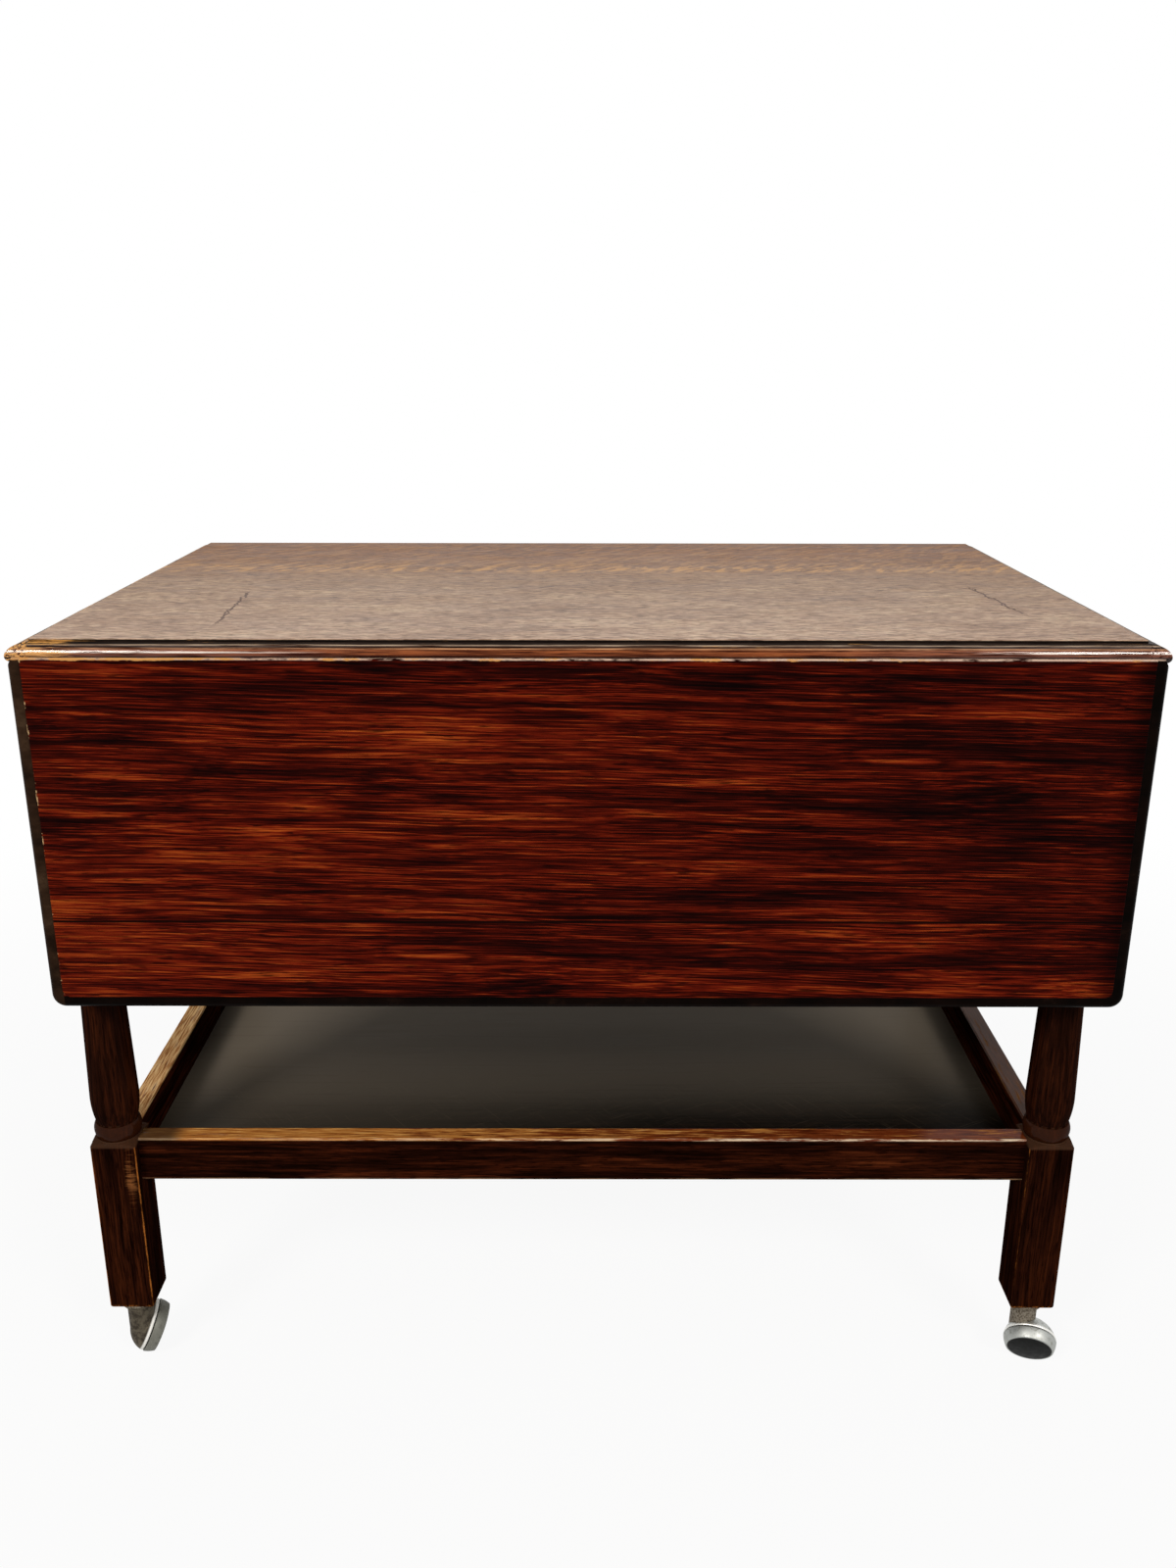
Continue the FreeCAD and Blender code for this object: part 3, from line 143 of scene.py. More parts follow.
def skin(name: str, rings: np.ndarray, layers: dict[str, np.ndarray] | None = None) -> bpy.types.Object:
    """Make a closed mesh from rings of points.

    Point (i, j) of the grid is point j of ring i. Quads join neighbouring rings, each ring closes on
    itself, and the first and the last ring are closed by a fan to their middle. Faces are turned
    outwards by the sign of the enclosed volume, the sum of the faces' triple products.

    Args:
        name: Name of the piece.
        rings: Array of ring, point and coordinate, in millimetres.
        layers: Attributes of the surface by name, each an array of ring and point, from 0 to 1.

    Returns:
        The new object, at the origin.
    """
    count, around = rings.shape[:2]
    index = np.arange(count * around).reshape(count, around)
    after = np.roll(index, -1, axis=1)
    quads = np.stack([index[:-1], after[:-1], after[1:], index[1:]], axis=-1).reshape(-1, 4)
    hubs = np.array([rings[0].mean(axis=0), rings[-1].mean(axis=0)])
    points = np.concatenate([rings.reshape(-1, 3), hubs])
    low, high = count * around, count * around + 1
    fans = np.concatenate([np.stack([after[0], index[0], np.full(around, low)], axis=-1),
                           np.stack([index[-1], after[-1], np.full(around, high)], axis=-1)])
    halves = np.concatenate([quads[:, [0, 1, 2]], quads[:, [0, 2, 3]], fans])
    a, b, c = (points[halves[:, k]] for k in range(3))
    if np.einsum("ij,ij->", a, np.cross(b, c)) < 0:
        quads, fans = quads[:, ::-1], fans[:, ::-1]
    mesh = bpy.data.meshes.new(name)
    mesh.from_pydata((points * MM).tolist(), [], quads.tolist() + fans.tolist())
    for layer, share in (layers or {}).items():
        amount = np.append(share.ravel(), [share[0].mean(), share[-1].mean()]).astype(np.float32)
        mesh.attributes.new(layer, "FLOAT", "POINT").data.foreach_set("value", amount)
    shape = bmesh.new()
    shape.from_mesh(mesh)
    bmesh.ops.remove_doubles(shape, verts=shape.verts, dist=WELD)
    shape.to_mesh(mesh)
    shape.free()
    mesh.shade_smooth()
    mesh.set_sharp_from_angle(angle=math.radians(CREASE))
    piece = bpy.data.objects.new(name, mesh)
    bpy.context.scene.collection.objects.link(piece)
    return piece


def arc(centre: tuple[float, float], radius: float, start: float, end: float, steps: int) -> np.ndarray:
    """Points on a circle, centre + radius (cos a, sin a) for a from start to end in degrees.

    Args:
        centre: Middle of the circle.
        radius: Its radius.
        start: First angle.
        end: Last angle.
        steps: Number of points.

    Returns:
        Array of point and coordinate.
    """
    angle = np.radians(np.linspace(start, end, steps))
    return np.stack([centre[0] + radius * np.cos(angle), centre[1] + radius * np.sin(angle)], axis=-1)


def turned(profile: np.ndarray, columns: int = 72) -> np.ndarray:
    """Carry a profile of radius and height round the z axis: (r cos a, r sin a, z).

    Args:
        profile: Array of point and (radius, height).
        columns: Points in each ring.

    Returns:
        Rings of points.
    """
    angle = np.linspace(0, 2 * math.pi, columns, endpoint=False)
    radius, height = profile[:, :1], profile[:, 1:]
    return np.stack([radius * np.cos(angle), radius * np.sin(angle),
                     np.broadcast_to(height, (len(profile), columns))], axis=-1)


class Side(Enum):
    """Long sides of the trolley, by their word in the model's nodes."""

    FRONT = "front"
    BACK = "back"


# Middles of the legs in plan: half their distance each way, and the frame's shift from the top's middle.
LEG_X, LEG_Y, FRAME_SHIFT = 357.75, 188.05, -4.0


class Corner(Enum):
    """Legs of the trolley: sign along x, sign along y, heading of the caster's axle in degrees."""

    FRONT_LEFT = (-1, -1, 11.0)
    FRONT_RIGHT = (1, -1, 253.0)
    BACK_LEFT = (-1, 1, -20.0)
    BACK_RIGHT = (1, 1, 160.0)

    @property
    def word(self) -> str:
        """Name of the corner in the model's nodes."""
        return self.name.lower()

    @property
    def axis(self) -> tuple[float, float]:
        """Middle of the leg in plan."""
        return FRAME_SHIFT + self.value[0] * LEG_X, self.value[1] * LEG_Y

    @property
    def shabby(self) -> bool:
        """Whether the leg and its caster are more worn than the others."""
        return self is Corner.FRONT_LEFT


class Fibre(Enum):
    """Direction of the wood's fibres: for x, y and z, 0 where the axis lies along them, 1 across them."""

    ALONG_X = (0, 1, 1)
    ALONG_Y = (1, 0, 1)
    ALONG_Z = (1, 1, 0)

    def stretch(self, along: float, across: float) -> tuple[float, float, float]:
        """Scale of a pattern whose features are that many millimetres long and wide."""
        return tuple((1 / along, 1 / across)[step] for step in self.value)


# --- finishes --------------------------------------------------------------------------------

@dataclass(frozen=True)
class FumedOak:
    """Oak darkened with fumes and stain under old varnish.

    Quarter-sawn oak shows fine hard stripes along the fibres, broader streaks from the growth rings and
    patches where the stain took unevenly. Its open pores stay as short black dashes. The varnish has
    dulled, so its mirror is weaker than the index of 1.5 gives on fresh varnish.
    """

    name: str
    fibre: Fibre
    tones: tuple[tuple[float, str], ...]
    pore: str
    line: tuple[float, float] = (34.0, 1.5)
    streak: tuple[float, float] = (110.0, 6.0)
    patch: tuple[float, float] = (240.0, 34.0)
    dash: tuple[float, float] = (12.0, 0.9)
    weights: tuple[float, float, float] = (1.1, 0.8, 0.8)
    dash_cover: float = 0.42
    dash_strength: float = 0.7
    dash_edge: float = 0.06
    waver: float = 9.0
    slope: float = 0.0
    roughness: float = 0.35
    specular: float = 0.08
    relief: float = 0.15

    @property
    def tilt(self) -> Euler:
        """Turn of the pattern that gives the fibres their slope."""
        return Euler((0, math.radians(self.slope), 0))

    def stock(self) -> list[Row]:
        """Place in the plank that the piece was sawn from, with the slope of its fibres."""
        return [("stock", "Mapping", {}, {"Vector": "mm", "Rotation": self.tilt})]

    def level(self) -> tuple[list[Row], float | str]:
        """Nodes for the level that the figure is built on, and that level."""
        return [], 0.5 - sum(self.weights) / 2

    def grain(self) -> list[Row]:
        """Nodes of the figure: stripes, streaks, stain patches and pore dashes, in millimetres.

        Returns:
            The rows; "wood" is the colour, and "bent" the point carried along the wavering fibres.
        """
        level_rows, level = self.level()
        stretch = self.fibre.stretch
        rows: list[Row] = [
            *IN_MM,
            ("split", "SeparateXYZ", {}, {"Vector": "mm"}),
            *self.stock(),
            *level_rows,
            ("long", "Mapping", {}, {"Vector": "stock", "Scale": stretch(240, 60)}),
            ("warp", "TexNoise", {}, {"Vector": "long", "Scale": 1.0, "Detail": 2.0}),
            ("centred", "VectorMath", MINUS, {0: "warp:Color", 1: (0.5, 0.5, 0.5)}),
            ("bent", "VectorMath", TIMES_PLUS, {0: "centred", 1: (self.waver,) * 3, 2: "stock"}),
        ]
        for name, size, detail, roughness in (
                ("line", self.line, 3.0, 0.6), ("streak", self.streak, 3.0, 0.55),
                ("patch", self.patch, 3.0, 0.55), ("dash", self.dash, 2.0, 0.6)):
            rows += [
                (f"{name}_at", "Mapping", {}, {"Vector": "bent", "Scale": stretch(*size)}),
                (name, "TexNoise", {},
                 {"Vector": f"{name}_at", "Scale": 1.0, "Detail": detail, "Roughness": roughness}),
            ]
        return rows + [
            ("fine", "Math", TIMES_PLUS, {0: "line", 1: self.weights[0], 2: level}),
            ("mid", "Math", TIMES_PLUS, {0: "streak", 1: self.weights[1], 2: "fine"}),
            ("figure", "Math", TIMES_PLUS, {0: "patch", 1: self.weights[2], 2: "mid"}),
            ("tone", "ValToRGB", {"ramp": self.tones}, {"Fac": "figure"}),
            ("pore", "MapRange", SMOOTH,
             {"Value": "dash", "From": (self.dash_cover - self.dash_edge, self.dash_cover + self.dash_edge),
              "To": (self.dash_strength, 0.0)}),
            ("wood", "Mix", COLOUR, {"Factor": "pore", "A": "tone", "B": tone(self.pore)}),
        ]

    def marks(self) -> list[Row]:
        """Nodes of the marks that a piece bears; the last is "marked", its colour."""
        return [("marked", "Mix", COLOUR, {"Factor": 0.0, "A": "wood", "B": "wood"})]

    def gloss(self) -> tuple[list[Row], dict]:
        """Nodes and inputs for a layer of varnish that is still bright in places."""
        return [], {}

    def make(self) -> bpy.types.Material:
        """Build the material, duller where the broad streaks are light and ridged along its lines.

        Returns:
            The material.
        """
        material = bpy.data.materials.new(self.name)
        gloss_rows, gloss = self.gloss()
        lay(material, self.grain() + self.marks() + gloss_rows + [
            ("dull", "MapRange", {},
             {"Value": "streak", "From": (0.3, 0.7), "To": (self.roughness - 0.06, self.roughness + 0.08)}),
            ("bump", "Bump", {}, {"Strength": self.relief, "Distance": 0.0005, "Height": "line"}),
            ("body", "BsdfPrincipled", {},
             {"Base Color": "marked", "Roughness": "dull", "Specular IOR Level": self.specular,
              "Normal": "bump", **gloss}),
            ("out", "OutputMaterial", {}, {"Surface": "body:BSDF"}),
        ])
        return material


# Across the top's moulding, from below: dark underside, red-brown round, dark stain with two rubbed lines
# in it, black in the quirk, painted shade with its dirt, and a pale arris, worn and partly a painted
# highlight.
MOULDING_BANDS = (
    (0.18, "#1e0d07"), (0.26, "#42200f"), (0.34, "#743818"), (0.50, "#8e4c24"), (0.585, "#7c401e"),
    (0.61, "#b4825a"), (0.645, "#b4825a"), (0.67, "#462a1c"), (0.73, "#34221a"), (0.75, "#a8927c"),
    (0.775, "#a8927c"), (0.80, "#2e221a"), (0.86, "#281c16"), (0.885, "#0c0502"), (0.955, "#0c0502"),
    (0.985, "#b89a7c"))


@dataclass(frozen=True)
class TopOak(FumedOak):
    """The top: grey-brown oak painted paler towards the front as sheen, a golden board with pale rays at the
    back, dark mouldings.
    """

    def boards(self) -> list[Row]:
        """Tones of the boards, with the rays that quarter-sawing lays open in the back one, and a painted
        sheen strongest at the near edge.

        Returns:
            The rows; the last is "flecked".
        """
        return [
            ("away_x", "Math", UNSIGNED, {0: "split:X"}),
            ("away_y", "Math", UNSIGNED, {0: "split:Y"}),
            # The back board is redder: partly its own tone, and partly painted darker, lacking the sheen of
            # the near part.
            ("back_board", "MapRange", SMOOTH,
             {"Value": "split:Y", "From": (-40.0, 190.0), "To": (0.0, 0.75)}),
            ("boarded", "Mix", STAIN, {"Factor": "back_board", "A": "wood", "B": tone("#dcae7e")}),
            # Medullary rays: slanting pale flakes about 24 mm long and 5 mm wide, strongest near y = 60.
            ("ray_at", "Mapping", {"vector_type": "TEXTURE"},
             {"Vector": "bent", "Scale": (5, 24, 5), "Rotation": (0, 0, -0.7)}),
            ("ray", "TexNoise", {}, {"Vector": "ray_at", "Scale": 1.0, "Detail": 3.0, "Distortion": 0.4}),
            ("band_in", "MapRange", SMOOTH, {"Value": "split:Y", "From": (42.0, 56.0)}),
            ("band_out", "MapRange", SMOOTH, {"Value": "split:Y", "From": (66.0, 110.0), "To": (1.0, 0.4)}),
            ("ray_cut", "MapRange", {}, {"Value": "ray", "From": (0.51, 0.59)}),
            ("ray_band", "Math", TIMES, {0: "band_in", 1: "band_out"}),
            ("ray_share", "Math", TIMES, {0: "ray_cut", 1: "ray_band"}),
            ("ray_soft", "Math", TIMES, {0: "ray_share", 1: 0.85}),
            ("rayed", "Mix", COLOUR, {"Factor": "ray_soft", "A": "boarded", "B": tone("#e6b67c")}),
            # Painted sheen: the top is painted paler and greyer towards the near edge, and deeper towards the
            # far one.
            ("inward", "MapRange", {}, {"Value": "split:Y", "From": (-224.0, 224.0)}),
            ("flecked", "Mix", STAIN, {"Factor": "inward", "A": "rayed", "B": tone("#beaa80")}),
        ]

    @staticmethod
    def crack(name: str, base: str, place: float, drift: float, near: float, far: float) -> list[Row]:
        """A crack that has opened along y: a line about 1.5 mm wide that parts into two lips.

        The line lies at x = place - 6 + 12 w + drift y, w being a noise along y.

        Args:
            name: Word that its nodes start with.
            base: Node of the colour that it lies on.
            place: Mean place along x.
            drift: Change of x for each millimetre of y.
            near: Where it starts along y.
            far: Where it ends along y.

        Returns:
            The rows; the last is the name with "_cracked" after it.
        """
        return [
            (f"{name}_wob_at", "Mapping", {},
             {"Vector": "mm", "Scale": (0.0, 1 / 24, 0.0), "Location": (place, 0.0, 0.0)}),
            (f"{name}_wob", "TexNoise", {},
             {"Vector": f"{name}_wob_at", "Scale": 1.0, "Detail": 5.0, "Roughness": 0.65}),
            (f"{name}_run", "Math", TIMES_PLUS, {0: "split:Y", 1: drift, 2: place - 6.0}),
            (f"{name}_line", "Math", TIMES_PLUS, {0: f"{name}_wob", 1: 12.0, 2: f"{name}_run"}),
            (f"{name}_off", "Math", MINUS, {0: "split:X", 1: f"{name}_line"}),
            (f"{name}_gap", "Math", UNSIGNED, {0: f"{name}_off"}),
            # The lips stand up to 4 mm from each other.
            (f"{name}_part_at", "Mapping", {},
             {"Vector": "mm", "Scale": (0.0, 1 / 13, 0.0), "Location": (0.0, place, 0.0)}),
            (f"{name}_part", "TexNoise", {}, {"Vector": f"{name}_part_at", "Scale": 1.0, "Detail": 2.0}),
            (f"{name}_open", "MapRange", {},
             {"Value": f"{name}_part", "From": (0.47, 0.66), "To": (0.0, 2.0)}),
            (f"{name}_lip", "Math", MINUS, {0: f"{name}_gap", 1: f"{name}_open"}),
            (f"{name}_lips", "Math", UNSIGNED, {0: f"{name}_lip"}),
            (f"{name}_dark", "MapRange", SMOOTH,
             {"Value": f"{name}_lips", "From": (0.4, 1.1), "To": (0.9, 0.0)}),
            (f"{name}_start", "MapRange", SMOOTH, {"Value": "split:Y", "From": (near, near + 30)}),
            (f"{name}_end", "MapRange", SMOOTH,
             {"Value": "split:Y", "From": (far - 20, far), "To": (1.0, 0.0)}),
            (f"{name}_span", "Math", TIMES, {0: f"{name}_start", 1: f"{name}_end"}),
            (f"{name}_crack", "Math", TIMES, {0: f"{name}_dark", 1: f"{name}_span"}),
            (f"{name}_cracked", "Mix", COLOUR, {"Factor": f"{name}_crack", "A": base, "B": tone("#4a2a1a")}),
        ]

    def moulding(self) -> list[Row]:
        """Marks of the moulding, in bands by its height, and of the round on the long edges, with a painted
        highlight along the round's crown.

        Returns:
            The rows; "rim" says where the moulding is, and the last, "chipped", is its colour.
        """
        return [
            ("in_x", "MapRange", SMOOTH, {"Value": "away_x", "From": (366.9, 367.7)}),
            ("in_y", "MapRange", SMOOTH, {"Value": "away_y", "From": (223.8, 224.6)}),
            ("over", "Math", HIGHER, {0: "in_x", 1: "in_y"}),
            ("under", "MapRange", {}, {"Value": "split:Z", "From": (601.3, 601.6), "To": (1.0, 0.0)}),
            ("rim", "Math", HIGHER, {0: "over", 1: "under"}),
            ("height", "MapRange", {}, {"Value": "split:Z", "From": (588.4, 602.0)}),
            ("bands", "ValToRGB", {"ramp": MOULDING_BANDS}, {"Fac": "height"}),
            # The moulding's marks run along its edge: along x on the long edges, along y on the ends.
            ("long_at", "Mapping", {}, {"Vector": "mm", "Scale": (1 / 45, 1 / 3, 1 / 1.2)}),
            ("end_at", "Mapping", {}, {"Vector": "mm", "Scale": (1 / 3, 1 / 45, 1 / 1.2)}),
            ("scar_at", "Mix", {"data_type": "VECTOR"}, {"Factor": "in_x", "A": "long_at", "B": "end_at"}),
            ("scar", "TexNoise", {}, {"Vector": "scar_at", "Scale": 1.0, "Detail": 5.0, "Roughness": 0.7}),
            ("stain", "MapRange", {}, {"Value": "scar", "From": (0.38, 0.6), "To": (1.0, 0.0)}),
            ("banded", "Mix", STAIN, {"Factor": "stain", "A": "bands", "B": tone("#5e3e2c")}),
            # Golden chips where the left end of the moulding has been knocked.
            ("knock", "MapRange", SMOOTH,
             {"Value": "split:X", "From": (-352.0, -318.0), "To": (0.07, -0.12)}),
            ("chance", "Math", PLUS, {0: "scar", 1: "knock"}),
            ("chip", "MapRange", {}, {"Value": "chance", "From": (0.54, 0.6)}),
            # Painted highlight: a white hair line along the crown of the round, near both ends.
            ("crown_in", "MapRange", {}, {"Value": "height", "From": (0.41, 0.44)}),
            ("crown_out", "MapRange", {}, {"Value": "height", "From": (0.48, 0.51), "To": (1.0, 0.0)}),
            ("crown", "Math", TIMES, {0: "crown_in", 1: "crown_out"}),
            ("crown_left", "MapRange", {}, {"Value": "split:X", "From": (-260.0, -170.0), "To": (0.9, 0.0)}),
            ("crown_right", "MapRange", {}, {"Value": "split:X", "From": (250.0, 290.0), "To": (0.0, 0.9)}),
            ("crown_ends", "Math", HIGHER, {0: "crown_left", 1: "crown_right"}),
            ("crown_luck", "MapRange", {}, {"Value": "scar", "From": (0.42, 0.52)}),
            ("crown_some", "Math", TIMES, {0: "crown_ends", 1: "crown_luck"}),
            ("crown_worn", "Math", TIMES, {0: "crown", 1: "crown_some"}),
            ("crowned", "Mix", COLOUR, {"Factor": "crown_worn", "A": "banded", "B": tone("#e8e0d6")}),
            ("chipped", "Mix", COLOUR, {"Factor": "chip", "A": "crowned", "B": tone("#c48e4c")}),
        ]

    def marks(self) -> list[Row]:
        """Nodes of the boards, two cracks in them and the moulding round them.

        Returns:
            The rows; the last is "marked".
        """
        return [
            *self.boards(),
            *self.crack("left", "flecked", -267.0, -0.054, -190.0, -40.0),
            *self.crack("right", "left_cracked", 302.0, -0.08, -150.0, -14.0),
            *self.moulding(),
            ("marked", "Mix", COLOUR, {"Factor": "rim", "A": "right_cracked", "B": "chipped"}),
        ]

    def gloss(self) -> tuple[list[Row], dict]:
        """Bright varnish left on the moulding, broken every few millimetres and mostly near the ends.

        Returns:
            The rows and the inputs of the coat.
        """
        return [
            ("left_on", "MapRange", {}, {"Value": "scar", "From": (0.4, 0.52)}),
            ("round", "MapRange", {}, {"Value": "height", "From": (0.74, 0.78), "To": (0.8, 0.0)}),
            ("toward_ends", "MapRange", {}, {"Value": "away_x", "From": (130.0, 260.0), "To": (0.2, 1.0)}),
            ("kept", "Math", TIMES, {0: "left_on", 1: "rim"}),
            ("kept_more", "Math", TIMES, {0: "kept", 1: "toward_ends"}),
            ("coat", "Math", TIMES, {0: "kept_more", 1: "round"}),
        ], {"Coat Weight": "coat", "Coat Roughness": 0.11}


@dataclass(frozen=True)
class LeafOak(FumedOak):
    """A leaf of two boards: redder, because the sun has not bleached it, with near-black mouldings."""

    glue_line: float = 404.8

    def stock(self) -> list[Row]:
        """Place in the plank; the lower board comes from another one than the upper.

        Returns:
            The rows; the last is "stock".
        """
        return [
            ("lower", "Math", {"operation": "LESS_THAN"}, {0: "split:Z", 1: self.glue_line}),
            ("moved", "VectorMath", {"operation": "SCALE"}, {0: (317.0, 0.0, 143.0), "Scale": "lower"}),
            ("sawn", "VectorMath", PLUS, {0: "mm", 1: "moved"}),
            ("stock", "Mapping", {}, {"Vector": "sawn", "Rotation": self.tilt}),
        ]

    def level(self) -> tuple[list[Row], float | str]:
        """Painted shade: the leaf is painted darker towards its upper edge and its right end, and lighter at
        its left end.

        Returns:
            The rows, and the name of the level's node.
        """
        middle = 0.5 - sum(self.weights) / 2
        return [
            # Painted shade: darker upwards and towards the right end.
            ("rise", "MapRange", {},
             {"Value": "split:Z", "From": (340.0, 590.0), "To": (middle + 0.01, middle - 0.045)}),
            ("spread", "MapRange", {}, {"Value": "split:X", "From": (-379.0, 379.0), "To": (0.06, -0.03)}),
            ("level", "Math", PLUS, {0: "rise", 1: "spread"}),
        ], "level"

    def marks(self) -> list[Row]:
        """Glue line, black moulding on three sides, painted shade at the right end, and the rubbed lip and
        arris, with a painted highlight along the lip's top.

        Returns:
            The rows; the last is "marked".
        """
        return [
            ("away_x", "Math", UNSIGNED, {0: "split:X"}),
            ("away_y", "Math", UNSIGNED, {0: "split:Y"}),
            ("from_glue", "Math", MINUS, {0: "split:Z", 1: self.glue_line}),
            ("near_glue", "Math", UNSIGNED, {0: "from_glue"}),
            ("glue", "MapRange", {}, {"Value": "near_glue", "From": (0.5, 1.2), "To": (0.95, 0.0)}),
            ("glued", "Mix", COLOUR, {"Factor": "glue", "A": "wood", "B": tone("#0a0302")}),
            # Painted shade: the right end is painted darker over the last 20 mm.
            ("burnish", "MapRange", SMOOTH, {"Value": "split:X", "From": (350.0, 371.0), "To": (0.0, 0.8)}),
            ("burnt", "Mix", STAIN, {"Factor": "burnish", "A": "glued", "B": tone("#5c3c34")}),
            ("side", "MapRange", SMOOTH, {"Value": "away_x", "From": (370.7, 371.4)}),
            ("foot", "MapRange", SMOOTH, {"Value": "split:Z", "From": (346.1, 346.9), "To": (1.0, 0.0)}),
            ("rim", "Math", HIGHER, {0: "side", 1: "foot"}),
            ("film_at", "Mapping", {}, {"Vector": "mm", "Scale": (1 / 30, 1 / 30, 1 / 18)}),
            ("film", "TexNoise", {}, {"Vector": "film_at", "Scale": 1.0, "Detail": 4.0, "Roughness": 0.65}),
            ("black", "ValToRGB", {"ramp": ((0.35, "#040201"), (0.6, "#0c0503"), (0.75, "#1e110b"))},
             {"Fac": "film"}),
            ("olive", "ValToRGB", {"ramp": ((0.35, "#180e08"), (0.55, "#2a1c12"), (0.72, "#3d2d20"))},
             {"Fac": "film"}),
            # The moulding is black, and on the left end it has faded to olive brown.
            ("faded", "MapRange", {}, {"Value": "split:X", "From": (-371.4, -370.7), "To": (1.0, 0.0)}),
            ("rim_tone", "Mix", COLOUR, {"Factor": "faded", "A": "black", "B": "olive"}),
            ("rimmed", "Mix", COLOUR, {"Factor": "rim", "A": "burnt", "B": "rim_tone"}),
            ("chip_at", "Mapping", {}, {"Vector": "mm", "Scale": (1 / 26, 1 / 4, 1 / 9)}),
            ("chip", "TexNoise", {}, {"Vector": "chip_at", "Scale": 1.0, "Detail": 4.0, "Roughness": 0.7}),
            ("crest_z", "Math", TIMES_PLUS, {0: "chip", 1: 5.0, 2: "split:Z"}),
            ("crest", "MapRange", {}, {"Value": "crest_z", "From": (592.4, 592.9)}),
            ("lip", "MapRange", {}, {"Value": "away_y", "From": (232.6, 233.2)}),
            # A thin cream line runs along the very top of the lip: worn arris and painted highlight.
            ("hair", "MapRange", {}, {"Value": "split:Z", "From": (589.9, 590.3), "To": (0.0, 0.85)}),
            ("hair_on", "MapRange", {}, {"Value": "chip", "From": (0.36, 0.48)}),
            ("hair_lip", "Math", TIMES, {0: "hair", 1: "lip"}),
            ("hair_worn", "Math", TIMES, {0: "hair_lip", 1: "hair_on"}),
            ("haired", "Mix", COLOUR, {"Factor": "hair_worn", "A": "rimmed", "B": tone("#ceb09c")}),
            ("crest_lip", "Math", TIMES, {0: "crest", 1: "lip"}),
            ("crest_left", "MapRange", {},
             {"Value": "split:X", "From": (-379.0, 379.0), "To": (0.06, -0.12)}),
            ("crest_luck", "Math", PLUS, {0: "chip", 1: "crest_left"}),
            ("crest_on", "MapRange", {}, {"Value": "crest_luck", "From": (0.46, 0.56)}),
            ("crest_worn", "Math", TIMES, {0: "crest_on", 1: "crest_lip"}),
            ("crested", "Mix", COLOUR, {"Factor": "crest_worn", "A": "haired", "B": tone("#c28c52")}),
            # The arris beside the moulding shows bare wood in dashes, mostly on the left end.
            ("from_arris", "Math", MINUS, {0: "split:X", 1: -371.1}),
            ("near_arris", "Math", UNSIGNED, {0: "from_arris"}),
            ("arris", "MapRange", {}, {"Value": "near_arris", "From": (0.4, 1.0), "To": (1.0, 0.0)}),
            ("arris_on", "MapRange", {}, {"Value": "chip", "From": (0.57, 0.62)}),
            ("arris_worn", "Math", TIMES, {0: "arris", 1: "arris_on"}),
            ("marked", "Mix", COLOUR, {"Factor": "arris_worn", "A": "crested", "B": tone("#d0ab7c")}),
        ]


@dataclass(frozen=True)
class LegOak(FumedOak):
    """Frame oak rubbed through on the arrises, by the attribute "wear", with polish by "gloss"."""

    worn: str = "#a8642a"

    def marks(self) -> list[Row]:
        """Bare arrises, a scraped patch, browner beads, and pale dust by the attribute "dust".

        Returns:
            The rows; the last is "marked".
        """
        return [
            ("wear", "Attribute", {"attribute_name": "wear"}, {}),
            ("dust", "Attribute", {"attribute_name": "dust"}, {}),
            ("chip_at", "Mapping", {}, {"Vector": "mm", "Scale": (1 / 3, 1 / 3, 1 / 14)}),
            ("chip", "TexNoise", {}, {"Vector": "chip_at", "Scale": 1.0, "Detail": 4.0, "Roughness": 0.7}),
            ("chance", "Math", PLUS, {0: "wear:Fac", 1: "chip"}),
            ("rubbed", "MapRange", SMOOTH, {"Value": "chance", "From": (0.95, 1.35)}),
            ("bared", "Mix", COLOUR, {"Factor": "rubbed", "A": "wood", "B": tone(self.worn)}),
            # Level scratches about 11 mm long and 1.3 mm wide, by the attribute "scrape".
            ("scrape", "Attribute", {"attribute_name": "scrape"}, {}),
            ("scratch_at", "Mapping", {}, {"Vector": "mm", "Scale": (1 / 11, 1 / 11, 1 / 1.3)}),
            ("scratch", "TexNoise", {},
             {"Vector": "scratch_at", "Scale": 1.0, "Detail": 3.0, "Roughness": 0.7}),
            ("luck", "Math", PLUS, {0: "scrape:Fac", 1: "scratch"}),
            ("scraped", "MapRange", SMOOTH, {"Value": "luck", "From": (0.85, 1.3)}),
            ("bald", "Mix", COLOUR, {"Factor": "scraped", "A": "bared", "B": tone("#84522c")}),
            # Beads keep a thicker, browner varnish.
            ("beaded", "Attribute", {"attribute_name": "gloss"}, {}),
            ("browner", "Math", TIMES, {0: "beaded:Fac", 1: 0.6}),
            ("brown", "Mix", COLOUR, {"Factor": "browner", "A": "bald", "B": tone("#341809")}),
            ("marked", "Mix", COLOUR, {"Factor": "dust:Fac", "A": "brown", "B": tone("#553b2a")}),
        ]

    def gloss(self) -> tuple[list[Row], dict]:
        """A little bright varnish on the bead and the ring, which nothing rubs."""
        coat = ("coat", "Math", TIMES, {0: "beaded:Fac", 1: 0.1})
        return [coat], {"Coat Weight": "coat", "Coat Roughness": 0.12}


